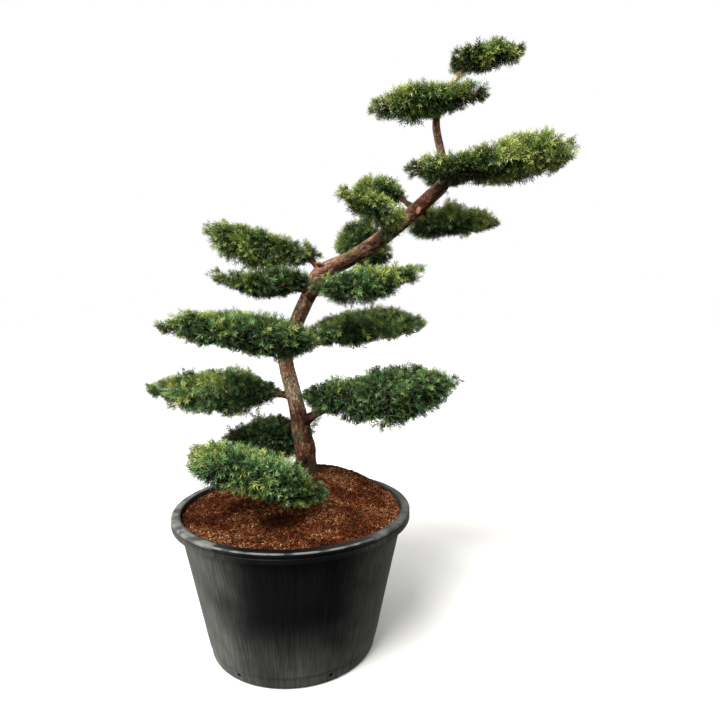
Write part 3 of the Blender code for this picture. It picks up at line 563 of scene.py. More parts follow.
# The height where the bough joins the trunk, its radius, the share of the cloud's length where it enters,
# the cloud's root and tip, how far its middle lies above their line, half its width, its height above and
# below, the share where it is widest, and how blunt it is at the root and at the tip
PADS = (
    ("low_front", 0.436, 0.009, 0.36, (0.085, -0.020, 0.383), (-0.246, -0.120, 0.511),
     0.010, 0.126, 0.060, 0.054, 0.55, (0.42, 0.20)),
    ("low_back", 0.462, 0.008, 0.20, (0.028, 0.175, 0.480), (-0.215, 0.250, 0.477),
     0.010, 0.095, 0.076, 0.078, 0.33, (0.60, 0.70)),
    ("left_mid", 0.622, 0.010, 0.16, (-0.034, 0.130, 0.634), (-0.409, 0.200, 0.642),
     -0.017, 0.127, 0.084, 0.063, 0.44, (0.60, 0.66)),
    ("right_wide", 0.540, 0.010, 0.30, (0.022, 0.050, 0.626), (0.423, -0.050, 0.668),
     -0.013, 0.144, 0.078, 0.088, 0.56, (0.38, 0.60)),
    ("left_wide", 0.738, 0.010, 0.28, (0.070, 0.020, 0.763), (-0.322, -0.070, 0.818),
     0.0, 0.126, 0.076, 0.051, 0.40, (0.55, 0.62)),
    ("back_wide", 0.750, 0.008, 0.18, (-0.010, 0.165, 0.768), (-0.130, 0.330, 0.790),
     0.0, 0.095, 0.042, 0.032, 0.50, (0.55, 0.60)),
    ("right_mid", 0.765, 0.009, 0.16, (0.030, 0.125, 0.780), (0.391, 0.200, 0.821),
     0.0, 0.129, 0.068, 0.044, 0.50, (0.50, 0.48)),
    ("right_front", 0.885, 0.008, 0.15, (0.047, 0.020, 0.913), (0.313, -0.100, 0.950),
     -0.017, 0.102, 0.050, 0.050, 0.48, (0.58, 0.60)),
    ("left_low", 0.905, 0.008, 0.18, (0.045, 0.085, 0.930), (-0.206, 0.020, 0.944),
     -0.030, 0.095, 0.072, 0.021, 0.36, (0.70, 0.80)),
    ("left_high", 0.955, 0.009, 0.14, (0.087, 0.110, 1.001), (-0.239, 0.200, 1.079),
     -0.011, 0.117, 0.054, 0.072, 0.60, (0.46, 0.62)),
    ("behind_bend", 1.022, 0.007, 0.45, (0.285, 0.170, 1.006), (0.125, 0.260, 1.048),
     0.008, 0.100, 0.090, 0.072, 0.46, (0.48, 0.62)),
    ("middle_front", 1.072, 0.007, 0.12, (0.276, 0.000, 1.066), (0.099, -0.120, 1.121),
     0.018, 0.071, 0.019, 0.053, 0.34, (0.80, 0.69)),
    ("middle_back", 1.115, 0.007, 0.10, (0.310, 0.100, 1.159), (0.180, 0.220, 1.182),
     0.005, 0.075, 0.061, 0.025, 0.48, (0.51, 0.52)),
    ("right_low", 1.126, 0.007, 0.25, (0.325, 0.105, 1.081), (0.610, 0.200, 1.110),
     0.008, 0.106, 0.055, 0.045, 0.40, (0.36, 0.42)),
    ("long_back", 1.196, 0.006, 0.20, (0.405, 0.062, 1.216), (0.470, 0.190, 1.230),
     0.0, 0.089, 0.038, 0.036, 0.48, (0.40, 0.55)),
    ("right_long", 1.195, 0.009, 0.32, (0.271, -0.050, 1.192), (0.689, -0.110, 1.227),
     -0.012, 0.121, 0.072, 0.043, 0.68, (0.30, 0.55)),
    ("upper_front", 1.345, 0.006, 0.38, (0.484, -0.070, 1.375), (0.188, -0.030, 1.340),
     0.0, 0.089, 0.051, 0.044, 0.47, (0.52, 0.62)),
    ("upper_back", 1.350, 0.006, 0.20, (0.383, 0.040, 1.396), (0.345, 0.160, 1.400),
     0.0, 0.074, 0.034, 0.026, 0.48, (0.45, 0.60)),
    ("crown", None, 0.0055, 0.30, (0.400, 0.008, 1.477), (0.595, -0.020, 1.500),
     0.0, 0.079, 0.042, 0.033, 0.42, (0.36, 0.60)),
)
print(len(PADS), "forms, the first from", PADS[0][4], "to", PADS[0][5])

# %% How the shears left them
EVEN = (-5, -5, -5, -5, -5, -5, -5)
CLIPPED_SIDE = -6             # mm
# How far each cloud's top and underside stand proud of its form, from root to tip, in mm
CLIPPED = {
    "low_front": ((0, -2, -4, -4, -2, -3, -12), (-4, -4, -4, -6, -6, -8, -14)),
    "low_back": ((-4, -5, -6, -6, -12, 0, 8), (-4, -6, -6, -6, -6, -6, -6)),
    "left_mid": ((-14, -8, -7, -8, -8, -6, 8), (8, 0, -12, -10, -8, 0, 0)),
    "right_wide": ((8, 0, -8, -3, -4, -5, 6), (0, -14, -12, -8, -8, -6, -16)),
    "left_wide": ((0, -12, -14, -12, -10, -6, 0), (-12, -4, 3, -12, -8, 2, 0)),
    "right_mid": ((6, -2, -2, 0, -5, -1, -8), (12, 0, 3, -4, -2, 5, 8)),
    "right_front": ((-4, -6, -10, -10, -10, -8, 6), (4, -6, -7, -5, 0, -16, 2)),
    "left_low": ((-10, -10, -12, -15, -15, 2, 14), (4, 0, -3, -8, -9, -10, 4)),
    "left_high": ((0, 8, -2, -10, -9, -3, 3), (-4, -4, -6, -8, -1, 1, -11)),
    "behind_bend": ((-20, -10, -6, 0, 2, -16, -22), (-6, -4, -2, 0, 0, -4, -8)),
    "middle_front": ((0, 0, 0, 0, 6, 10, 6), (0, 10, 5, -5, -12, -8, -10)),
    "middle_back": ((-10, -4, -10, -5, -3, 0, -8), (-4, -4, -4, -4, -4, -4, -4)),
    "right_low": ((0, 6, 8, -20, -13, -1, -5), (-4, 0, -10, -8, -6, -6, -6)),
    "right_long": ((6, 8, 6, -15, 0, -8, -6), (6, 6, -6, -14, -20, -8, -10)),
    "upper_front": ((-22, -12, -18, -12, -3, 0, 10), (0, -8, -10, -16, 0, 8, 5)),
    "crown": ((0, -8, -10, -5, -3, 0, -11), (-3, -3, -3, -5, -3, 2, -6)),
}
FAN_DEPTH = 0.034             # a finer twig ends this far under the form
LEAST_TAPER = 0.30
print(len(CLIPPED), "forms have a clipped edge of their own")


# %% The form of one cloud
class Pad:
    """The smooth form of one cloud, with the place where its stem starts."""

    def __init__(self, **sizes):
        self.__dict__.update(sizes)
        self.root = Vector(self.root)
        self.tip = Vector(self.tip)
        self.power = math.log(0.5) / math.log(self.fullest)
        self.along = (self.tip - self.root).normalized()
        self.side = self.along.cross(UP).normalized()
        self.length = (self.tip - self.root).length
        self.entry_point = self.centre(self.entry)
        self.trunk_point, self.trunk_radius = trunk_at(self.joins or ABOVE_TIP)
        towards = (self.trunk_point - self.entry_point).normalized()
        distance = 0.005
        while self.holds(self.entry_point + towards * distance, CORE_SHARE + CORE_MARGIN):
            distance += 0.002
        self.stem_start = self.entry_point + towards * (distance + STEM_RUN)

    def centre(self, u):
        return self.root.lerp(self.tip, u) + UP * self.sag * 4.0 * u * (1.0 - u)

    def fullness(self, u):
        u = min(max(u, 0.0), 1.0)
        bluntness = self.blunt[0] + (self.blunt[1] - self.blunt[0]) * u
        return max(math.sin(math.pi * u ** self.power), 0.0) ** bluntness

    def surface(self, u, v, share=1.0):
        """A point on the form at share u of its length and angle v round it."""
        height = self.rise if math.sin(v) > 0.0 else self.drop
        across = self.side * self.half_width * math.cos(v)
        return self.centre(u) + self.fullness(u) * share * (across + UP * height * math.sin(v))

    def overshoot(self, point):
        """How far a point stands outside the form, in metres: less than 0 inside."""
        u = (point - self.root).dot(self.along) / self.length
        offset = point - self.centre(min(max(u, 0.0), 1.0))
        height = self.rise if offset.z > 0.0 else self.drop
        across, up = offset.dot(self.side), offset.z
        v = math.atan2(up / height, across / self.half_width)
        reach = self.fullness(u) * math.hypot(self.half_width * math.cos(v), height * math.sin(v))
        return max(math.hypot(across, up) - reach, max(-u, u - 1.0) * self.length)

    def clipped(self, u, v):
        """How far the shears left the cloud proud of its form at (u, v), in metres."""
        over, under = CLIPPED.get(self.name, (EVEN, EVEN))
        row = over if math.sin(v) > 0.0 else under
        edge = abs(math.sin(v)) ** 1.5
        return 0.001 * ((1.0 - edge) * CLIPPED_SIDE + edge * float(np.interp(u * 6.0, range(7), row)))

    def taper(self, u):
        """1 where the cloud is thick, less in its thin tails."""
        thickness = self.fullness(u) * min(self.half_width, 0.5 * (self.rise + self.drop))
        return min(1.0, max(LEAST_TAPER, thickness / FAN_DEPTH))

    def holds(self, point, share=1.0):
        u = (point - self.root).dot(self.along) / self.length
        if not 0.0 < u < 1.0:
            return False
        offset = point - self.centre(u)
        height = self.rise if offset.z > 0.0 else self.drop
        reach = math.hypot(offset.dot(self.side) / self.half_width, offset.z / height)
        return reach < share * self.fullness(u)

    def hangs_on_trunk(self):
        return (self.stem_start - self.trunk_point).length < self.trunk_radius + NEAR_TRUNK


pads = [Pad(**dict(zip(PAD_COLUMNS, row))) for row in PADS]
print(len(pads), "clouds,", sum(1 for pad in pads if pad.joins and not pad.hangs_on_trunk()), "on boughs")

# %% [markdown]
# ## The boughs
#
# A bough leaves the trunk rising, bends level, and runs on inside its cloud as the stem that every twig
# forks from. It is one tapering limb of the same bark, thicker where it joins the trunk, because a branch
# builds a collar there. On thinner wood the scales are smaller.

# %% Make the boughs
BOUGH_SIDES = 14
BOUGH_RING_GAP = 0.004
BOUGH_SCALE = 0.55            # of the trunk's scales
# Painted shade: the boughs lie in the clouds' shade, so their bark is painted darker and redder than the
# trunk's.
BOUGH_SHADE_TONE = 0.45             # its bark is darker than the trunk's
BOUGH_RISE = 0.25             # how steeply a bough leaves the trunk
BOUGH_STEPS, STEM_STEPS = 24, 12
COLLAR_SHARE = 1.25           # of the bough's radius, where it leaves the trunk
BOUGH_TAPER = 0.45            # what it loses on the way to its cloud
STEM_SHARE = 0.80             # where the cloud's stem starts
STEM_TAPER = 0.58             # and what the stem loses by its end
STEM_END = 0.84               # share of a cloud's length where its stem ends
COLLAR = 0.40                 # extra radius at the trunk, as a share
COLLAR_LENGTH = 0.014


def limb_path(pad):
    """The bough's curve to the cloud, and on along the cloud's middle as its stem."""
    points, radii = [], []
    if pad.joins and not pad.hangs_on_trunk():
        into_pad = (pad.entry_point - pad.stem_start).normalized()
        start, bend_end = pad.trunk_point, pad.stem_start - into_pad * STRAIGHT
        span = (bend_end - start).length
        outward = (bend_end - start).normalized()
        first_handle = start + (outward + UP * BOUGH_RISE).normalized() * span * 0.4
        last_handle = bend_end - into_pad * span * 0.3
        for index in range(BOUGH_STEPS + 1):
            t = index / BOUGH_STEPS
            points.append(start * (1 - t) ** 3 + first_handle * 3 * t * (1 - t) ** 2
                          + last_handle * 3 * t * t * (1 - t) + bend_end * t ** 3)
            radii.append(pad.bough * (COLLAR_SHARE - BOUGH_TAPER * t))
        points.append(pad.stem_start)
        radii.append(pad.bough * STEM_SHARE)
    else:
        points.append(pad.trunk_point.copy())
        radii.append(pad.bough * 0.9)
    for index in range(STEM_STEPS + 1):
        share = index / STEM_STEPS
        u = pad.entry + (STEM_END - pad.entry) * share
        points.append(pad.centre(u))
        radii.append(pad.bough * (STEM_SHARE - STEM_TAPER * share))
    if pad.joins:
        travelled = 0.0
        for index in range(len(points)):
            if index:
                travelled += (points[index] - points[index - 1]).length
            beyond = max(0.0, travelled - pad.trunk_radius)
            radii[index] *= 1.0 + COLLAR * math.exp(-beyond / COLLAR_LENGTH)
    return points, radii


limb_paths = {pad.name: limb_path(pad) for pad in pads}
boughs = join_limbs("bough_bark", [
    bark_tube(*limb_paths[pad.name], BOUGH_SIDES, BOUGH_RING_GAP, 3.0 + number, BOUGH_SCALE, tone=BOUGH_SHADE_TONE)
    for number, pad in enumerate(pads)], bark)

# %% [markdown]
# ## How a cloud grows
#
# Clipping makes a yew fork. Main twigs leave the stem, each carries a few finer twigs, and each of those
# ends in a fan of leafy shoots that stop at the clipped form. The marks that the shoots aim at are spread
# by the golden angle, which never lines up, and are spaced by area, so that the cloud is even on all
# sides. Round each main twig the needles stand a little proud, and between two of them they sink: that
# gives the lumps that a clipped yew shows. Twigs are first worked out as plain lines.

# %% Sizes of twigs and shoots
CLUMP_AREA = 0.0050           # of the form for one main twig
TWIG_AREA = 0.00082           # for one finer twig
FEWEST_MAINS = 14
FORK_BACK = 0.16              # a main twig forks this share of the cloud's length nearer its root
MAIN_CROOK, END_CROOK, BEND_CROOK = 0.006, 0.004, 0.003    # how far twigs stray from a straight line
GATHERED = 0.55               # 0 if all twigs pointed away from the cloud's middle, 1 from its axis
HANGING = -0.55               # an outward direction steeper than this hangs down
DEEPEST = 0.80                # a finer twig ends at most this share of the way in
FORK_DEPTHS = (0.020, 0.035)  # under a finer twig's end: where its main twig is sought, and left
SHOOTS_ON_TWIG = 9
MAIN_SHARE = 0.52             # of the form's girth where a main twig ends
FAN_SPREAD = math.radians(74.0)
SHOOT_LENGTH = (0.024, 0.038)
SHORTEST = 0.015              # a clipped shoot keeps this much
TRIM = 0.011                  # needles reach this far past the end of their shoot
GAP_CHANCE = 0.08             # of a finer twig that has died back and left a hole
BILLOW = 0.055                # across one swelling of the clipped surface
BILLOW_LIFT = 0.008
CREASE_DEPTH = 0.012          # between two main twigs
RAGGED_FAN = 0.015            # how unevenly the shears cut from fan to fan
RAGGED_SHOOT = 0.0035         # and from shoot to shoot
STRAY_CHANCE = 0.04           # of a fan that the shears missed
STRAY_REACH = (0.006, 0.016)
UNDERSIDE_KEPT = 0.70         # of the fans that would hang straight down
TRUNK_CLEARANCE = 0.004
SOIL_CLEARANCE = 0.010
print("A fan has", SHOOTS_ON_TWIG, "shoots on", round(TWIG_AREA * 1.0e4, 1), "cm2 of the form")


# %% Marks spread evenly over a form
def even_marks(pad, count):
    """Places (u, v) spread evenly over the form, with the form's area."""
    us = np.linspace(0.0, 1.0, 241)
    full = np.array([pad.fullness(u) for u in us])
    girth = 0.5 * pad.half_width + 0.25 * (pad.rise + pad.drop)
    steps = np.hypot(np.diff(us) * pad.length, np.diff(full) * girth)
    bands = steps * 0.5 * (full[1:] + full[:-1]) * math.tau * girth
    along = np.concatenate([[0.0], np.cumsum(bands)])
    vs = np.linspace(0.0, math.tau, 181)
    heights = np.where(np.sin(vs) > 0.0, pad.rise, pad.drop)
    speeds = np.hypot(pad.half_width * np.sin(vs), heights * np.cos(vs))
    round_it = np.concatenate([[0.0], np.cumsum(0.5 * (speeds[1:] + speeds[:-1]))])
    area = float(along[-1])
    count = count(area)
    turns = (np.arange(count) * GOLDEN_ANGLE / math.tau) % 1.0
    places = np.interp((np.arange(count) + 0.5) / count * area, along, us)
    return list(zip(places.tolist(), np.interp(turns * round_it[-1], round_it, vs).tolist())), area


# %% Main twigs and finer twigs
def nearest_finder(points):
    finder = kdtree.KDTree(len(points))
    for index, point in enumerate(points):
        finder.insert(point, index)
    finder.balance()
    return finder


def foot_on(path, point):
    """The place on a twig's line that is nearest to a point."""
    best, found = 1e9, path[0]
    for low, high in zip(path, path[1:]):
        span = high - low
        t = min(max((point - low).dot(span) / span.length_squared, 0.0), 1.0)
        place = low + span * t
        if (place - point).length < best:
            best, found = (place - point).length, place
    return found


def random_vector(rng, size):
    return Vector((rng.uniform(-1, 1), rng.uniform(-1, 1), rng.uniform(-1, 1))) * size


def grow_twigs(pad, rng):
    """Main twigs from the stem and finer twigs from those, each a short bent line."""
    mains = []
    marks, area = even_marks(pad, lambda area: max(FEWEST_MAINS, round(area / CLUMP_AREA)))
    crests = [pad.surface(u, v) for u, v in marks]
    for u, v in marks:
        fork = pad.centre(min(max(u - FORK_BACK, 0.10), STEM_END - 0.02))
        end = pad.surface(min(max(u, 0.05), 0.95), v, MAIN_SHARE)
        bend = fork.lerp(end, 0.5) + random_vector(rng, MAIN_CROOK) + pad.along * 0.004
        mains.append([fork, bend, end])
    finer = []
    main_ends = nearest_finder([path[-1] for path in mains])
    crest_finder = nearest_finder(crests)
    half_gap = math.sqrt(CLUMP_AREA / math.pi)
    for u, v in even_marks(pad, lambda area: round(area / TWIG_AREA))[0]:
        flat = pad.surface(u, v)
        inward = pad.centre(0.5 + GATHERED * (u - 0.5)) - flat
        away = -inward.normalized()
        if away.z < HANGING and rng.random() > UNDERSIDE_KEPT or rng.random() < GAP_CHANCE:
            continue
        crease = min(crest_finder.find(flat)[2] / half_gap, 1.5)
        taper = pad.taper(u)
        lift = BILLOW_LIFT * 1.6 * noise.noise(flat / BILLOW) + CREASE_DEPTH * (0.3 - 0.6 * crease ** 2)
        lift = pad.clipped(u, v) + taper * (lift + rng.uniform(-RAGGED_FAN, RAGGED_FAN))
        if rng.random() < STRAY_CHANCE:
            lift += rng.uniform(*STRAY_REACH)
        depth = min(FAN_DEPTH * taper - lift, DEEPEST * inward.length)
        end = flat - away * depth + random_vector(rng, END_CROOK)
        parent = mains[main_ends.find(end - away * FORK_DEPTHS[0])[1]]
        start = foot_on(parent, end - away * FORK_DEPTHS[1])
        bend = start.lerp(end, 0.55) + random_vector(rng, BEND_CROOK)
        finer.append(([start, bend, end], away, u, v, lift))
    return mains, finer, area


# %% What a shoot may not touch
SOIL_LEVEL = 0.346
MOUND_TOP = 0.3937
MOUND_CENTRE = Vector((0.065, 0.160, 0.0))
MOUND_SPREAD = 0.150


def soil_height(x, y):
    """The soil's surface: level at the wall, with a flat-topped mound round the trunk."""
    distance = math.hypot(x - MOUND_CENTRE.x, y - MOUND_CENTRE.y)
    swell = min(1.0, 1.25 * math.exp(-(distance / MOUND_SPREAD) ** 2))
    return SOIL_LEVEL + (MOUND_TOP - SOIL_LEVEL) * swell


trunk_finder = nearest_finder(bark_points)


def is_blocked(pad, start, end):
    """Whether a shoot would touch the trunk or the soil."""
    for share in (0.35, 0.7, 1.0):
        spot = start.lerp(end, share)
        place, index, distance = trunk_finder.find(spot)
        if distance < bark_radii[index] + TRUNK_CLEARANCE:
            return True
        if spot.z < soil_height(spot.x, spot.y) + SOIL_CLEARANCE:
            return True
    return False


print("The soil's mound is", round(1000.0 * (MOUND_TOP - SOIL_LEVEL)), "mm high")

# %% [markdown]
# ## Which green goes where
#
# A yew's new growth is yellow-green and its old needles are almost black-green. Light and shade are also
# painted into the tints: the tops and outer ends of the clouds and the fans that stand proud get lighter
# tints as painted light, the creases, undersides, sides of fans and deeper needles darker ones as painted
# shade, and each cloud is painted lighter or darker as a whole. Whole patches lean to yellow or to blue. Each
# shoot gets one tint by that rule; its outermost needles get the next lighter one, for new growth and painted
# light, and the needles near its foot the next darker one, for old needles and painted shade. The tints are
# plain colours, because on needles this small nothing finer would show.

# %% Needle tints
# Lit and shaded copies of the yew's greens: the near-black tints are painted shade and the palest are partly
# painted light, beside the real yellow of new growth and the blue and bronze casts.
TINTS = (
    ("needle_dark", "#050A04"), ("needle_shade", "#101B0A"), ("needle_deep", "#3A5527"),
    ("needle_leaf", "#748A44"), ("needle_fresh", "#9FAC54"), ("needle_lime", "#BCC172"),
    ("needle_cool_dark", "#040906"), ("needle_cool_shade", "#0E1D11"), ("needle_cool_deep", "#3A5C36"),
    ("needle_cool_leaf", "#6D9257"), ("needle_cool_fresh", "#90AE6C"), ("needle_bronze_dark", "#2E2318"),
    ("needle_bronze", "#6A523A"), ("needle_bronze_tip", "#A38760"))
WARM_START, COOL_START, BRONZE = 1, 7, 12    # places in that list, for needles of middle age
BRONZE_CHANCE = 0.006         # of a dead shoot
COOL_FROM, COOL_CHANCE = 0.12, 0.85    # above this coolness most shoots take a cooler tint
NEEDLE_IOR = 1.30
NEEDLE_ROUGHNESS = 0.42       # a yew needle is leathery, with a dull gloss on top
PATCH = 0.062                 # across one patch of fresher or older growth
STEPS_OF_LIGHT = (0.26, 0.54, 0.98)
# Painted light of each cloud: how much lighter or darker all its tints are painted.
CLOUD_LIGHT = {                 # more or less light than an even cloud has
    "low_front": 0.02, "low_back": -0.24, "left_mid": 0.04, "right_wide": -0.20, "left_wide": 0.04,
    "right_mid": 0.17, "right_front": 0.02, "left_low": -0.14, "left_high": 0.12, "behind_bend": -0.14,
    "middle_front": 0.52, "middle_back": 0.04, "right_low": 0.56, "right_long": 0.62,
    "upper_front": 0.34, "crown": 0.38,
}
# The rule below paints light and shade into the tints: lighter on tops, outer ends and fans that stand proud,
# darker on undersides, creases, the sides of fans and needles deep in the cloud, with random patches and
# chance on top.
LIGHT_LEVEL = 0.46            # of an even cloud
TOP_LIGHT = 0.30              # more on its top, and as much less on its underside
OUTER_LIGHT = 0.36            # more from its root end to its tip
PATCH_LIGHT = 0.42            # more or less by patches
PROUD_LIGHT = 8.0             # more on a fan that stands proud, per metre
CHANCE_LIGHT = 0.34           # more or less from fan to fan
CLOUD_LIGHT_GAIN = 1.9
SHOOT_LIGHT = (-0.48, 0.52)   # and from shoot to shoot
SIDE_SHADE = 0.20             # less for a shoot at the side of its fan
DEPTH_SHADE = 14.0                 # how fast needles darken with depth, per metre
COOLNESS = {                  # how far a cloud leans to the cooler tints
    "low_front": 0.56, "low_back": 0.20, "left_mid": 0.36, "right_wide": 0.36, "left_wide": 0.28,
    "right_mid": 0.36, "right_front": 0.38, "left_low": 0.06, "left_high": 0.04, "right_low": 0.06,
    "right_long": -0.18, "upper_front": -0.06, "crown": -0.14,
}
# Living yew needles: leathery, one plain green each, with a dull gloss on a tuft's top. Their wax would have
# an IOR near 1.45; it is set lower so that thousands of small glints stay soft.
needle_materials = [new_material(label, tint, NEEDLE_ROUGHNESS, NEEDLE_IOR)[0] for label, tint in TINTS]
print(len(needle_materials), "needle tints")


# %% The rule that deals the tints out
def fan_light(pad, rng, place, u, v, lift):
    """How much painted light a fan of shoots gets, from its place on the cloud."""
    light = (LIGHT_LEVEL + TOP_LIGHT * math.sin(v) + OUTER_LIGHT * (u - 0.5)
             + PATCH_LIGHT * noise.noise(place / PATCH) + PROUD_LIGHT * (lift - pad.clipped(u, v))
             + rng.uniform(-CHANCE_LIGHT, CHANCE_LIGHT))
    return light * (1.0 + CLOUD_LIGHT_GAIN * CLOUD_LIGHT.get(pad.name, 0.0))


def pick_tint(pad, rng, place, light):
    """The number of a shoot's tint."""
    if rng.random() < BRONZE_CHANCE:
        return BRONZE
    level = sum(light > step for step in STEPS_OF_LIGHT)
    cool = noise.noise(place / PATCH + Vector((31.0, 7.0, 3.0))) + COOLNESS.get(pad.name, 0.0)
    cool += 0.3 * (0.5 - (place - pad.root).dot(pad.along) / pad.length)
    if cool > COOL_FROM and level < 3 and rng.random() < COOL_CHANCE:
        return COOL_START + level
    return WARM_START + level


# %% Aim the shoots of one cloud
def grow_shoots(pad, rng, finer):
    """A fan of leafy shoots round the end of each finer twig: start, end, facing and tint."""
    shoots = []
    for path, away, u, v, lift in finer:
        light = fan_light(pad, rng, path[-1], u, v, lift)
        taper = pad.taper(u)
        outward = pad.along * (1.0 if u > 0.5 else -1.0)
        heading = (away * 0.9 + UP * (0.15 if math.sin(v) > -0.3 else 0.0) + pad.along * 0.15
                   + outward * 0.9 * (1.0 - taper) + random_vector(rng, 0.25)).normalized()
        across = heading.orthogonal().normalized()
        above = heading.cross(across)
        turn = rng.uniform(0.0, math.tau)
        for number in range(SHOOTS_ON_TWIG):
            tilt = FAN_SPREAD * (0.5 + 0.5 * taper)
            tilt *= math.sqrt((number + rng.uniform(0.0, 0.9)) / SHOOTS_ON_TWIG)
            spin = turn + number * GOLDEN_ANGLE
            outwards = across * math.cos(spin) + above * math.sin(spin)
            way = heading * math.cos(tilt) + outwards * math.sin(tilt)
            start = path[1].lerp(path[2], rng.uniform(0.35, 1.0))
            length = rng.uniform(*SHOOT_LENGTH)
            limit = lift + rng.uniform(-RAGGED_SHOOT, RAGGED_SHOOT) - TRIM * taper
            while length > SHORTEST and pad.overshoot(start + way * length) > limit:
                length *= 0.88
            end = start + way * length
            if is_blocked(pad, start, end):
                continue
            facing = (away * 0.6 + UP * 0.7 + random_vector(rng, 0.6)).normalized()
            # Painted shade: a shoot that ends deeper under the form, or at the side of its fan, gets a darker
            # tint.
            depth_shade = DEPTH_SHADE * max(0.0, limit - pad.overshoot(end))
            here = light - SIDE_SHADE * tilt / FAN_SPREAD - depth_shade + rng.uniform(*SHOOT_LIGHT)
            shoots.append((start, end, facing, pick_tint(pad, rng, end, here)))
    return shoots


# %% Sprigs that the shears missed
SPRIGS = (                    # cloud, where the sprig leaves it, its tip; the last three fill a gap inside
    ("left_high", (-0.190, 0.175, 1.066), (-0.234, 0.170, 1.091)),
    ("left_high", (-0.185, 0.160, 1.052), (-0.224, 0.150, 1.066)),
    ("left_low", (-0.170, 0.030, 0.930), (-0.206, 0.030, 0.944)),
    ("right_front", (0.245, -0.085, 0.938), (0.318, -0.090, 0.962)),
    ("right_front", (0.255, -0.088, 0.940), (0.320, -0.095, 0.950)),
    ("right_front", (0.255, -0.088, 0.932), (0.314, -0.090, 0.926)),
    ("right_front", (0.250, -0.088, 0.930), (0.296, -0.100, 0.917)),
    ("right_front", (0.240, -0.088, 0.935), (0.300, -0.100, 0.938)),
    ("middle_back", (0.165, 0.170, 1.166), (0.126, 0.150, 1.176)),
    ("middle_front", (0.175, -0.050, 1.088), (0.140, -0.060, 1.100)),
    ("right_long", (0.650, -0.100, 1.248), (0.680, -0.100, 1.268)),
    ("crown", (0.560, -0.005, 1.503), (0.590, 0.000, 1.526)),
    ("right_wide", (0.040, 0.124, 0.550), (0.056, 0.112, 0.578)),
    ("right_wide", (0.044, 0.124, 0.540), (0.080, 0.115, 0.563)),
    ("right_wide", (0.044, 0.122, 0.530), (0.074, 0.108, 0.545)),
    ("right_wide", (0.046, 0.122, 0.520), (0.062, 0.105, 0.527)),
    ("right_wide", (0.225, 0.010, 0.640), (0.280, -0.020, 0.624)),
    ("right_wide", (0.232, -0.020, 0.622), (0.276, 0.010, 0.646)),
    ("right_wide", (0.210, 0.010, 0.616), (0.258, 0.000, 0.606)),
)
SHOOTS_ON_SPRIG = 7
SPRIG_SHOOT = (0.016, 0.024)
print(len(SPRIGS), "placed sprigs on", len({sprig[0] for sprig in SPRIGS}), "clouds")


def grow_sprigs(pad, rng):
    """The stray sprigs of one cloud: the lines of their twigs, and their shoots."""
    stems, shoots = [], []
    for owner, start, tip in SPRIGS:
        if owner != pad.name:
            continue
        start, tip = Vector(start), Vector(tip)
        heading = (tip - start).normalized()
        stem_end = tip - heading * SPRIG_SHOOT[0]
        stems.append([start, start.lerp(stem_end, 0.5) + UP * 0.002, stem_end])
        for number in range(SHOOTS_ON_SPRIG):
            base = start.lerp(stem_end, number / (SHOOTS_ON_SPRIG - 1))
            way = (heading + random_vector(rng, 0.75)).normalized()
            facing = (UP + random_vector(rng, 0.8)).normalized()
            tint = pick_tint(pad, rng, base, rng.uniform(0.1, 0.75))
            shoots.append((base, base + way * rng.uniform(*SPRIG_SHOOT), facing, tint))
    return stems, shoots


# %% [markdown]
# ## One shoot of needles
#
# A yew needle is a narrow, pointed strap about 18 mm long and 2.5 mm wide. The needles are set in a spiral
# round the shoot but twist to lie in two flattened ranks. Each needle is two triangles folded along the
# midrib: with hundreds of thousands of them, every face counts. Four different shoots are enough for the
# eye not to find the repeat.

# %% Four shoots to copy from
SHOOT_VARIANTS = 4
NEEDLES = 20                  # on one shoot
NEEDLE_LENGTH = 0.52          # of the shoot's length, which is one
NEEDLE_WIDTH = 0.066
FLATNESS = 0.62               # a full spiral is 1, two flat ranks are 0
FOLD = 0.22                   # of the needle's width
LEAN_DEG = (64.0, 32.0)       # of a needle at the shoot's foot, and how much less at its tip
# Needles near a shoot's foot are painted one tint darker, for old needles and painted shade; the outermost
# one tint lighter, for new growth and painted light.
OLD_AND_SHADED_UNTIL, YOUNG_AND_LIT_FROM = 0.45, 0.84    # shares of the shoot's length

shoot_collection = bpy.data.collections.new("shoots")
for variant in range(SHOOT_VARIANTS):
    rng = random.Random(40 + variant)
    corners, faces, ages_and_shade = [], [], []
    for number in range(NEEDLES):
        t = 0.08 + 0.92 * number / (NEEDLES - 1)
        turn = number * GOLDEN_ANGLE + variant
        radial = Vector((0.0, math.cos(turn), FLATNESS * math.sin(turn) + 0.10)).normalized()
        lean = math.radians(LEAN_DEG[0] - LEAN_DEG[1] * t ** 2 + rng.uniform(-10.0, 10.0))
        heading = Vector((math.cos(lean), 0.0, 0.0)) + radial * math.sin(lean)
        width_way = heading.cross(UP if abs(heading.z) < 0.9 else Vector((0, 1, 0))).normalized()
        top = width_way.cross(heading)
        length = NEEDLE_LENGTH * (1.0 - 0.30 * t) * rng.uniform(0.85, 1.12)
        base = Vector((t, 0.0, 0.0))
        middle = base + heading * length * 0.42 - top * NEEDLE_WIDTH * FOLD
        end = base + heading * length - UP * length * rng.uniform(0.0, 0.12)
        first = len(corners)
        corners += [base, middle - width_way * NEEDLE_WIDTH / 2, end, middle + width_way * NEEDLE_WIDTH / 2]
        faces += [(first, first + 1, first + 2), (first, first + 2, first + 3)]
        # Painted shade at the foot of the shoot and painted light at its tip, besides the needles' age.
        ages_and_shade += [-1 if t < OLD_AND_SHADED_UNTIL else int(t > YOUNG_AND_LIT_FROM)] * 2
    shoot = add_piece(f"shoot_{variant}", corners, faces)
    bpy.context.scene.collection.objects.unlink(shoot)
    shoot_collection.objects.link(shoot)
    set_attribute(shoot.data, "age", "INT", ages_and_shade, "FACE")
print("A shoot has", NEEDLES, "needles and", len(faces), "triangles")
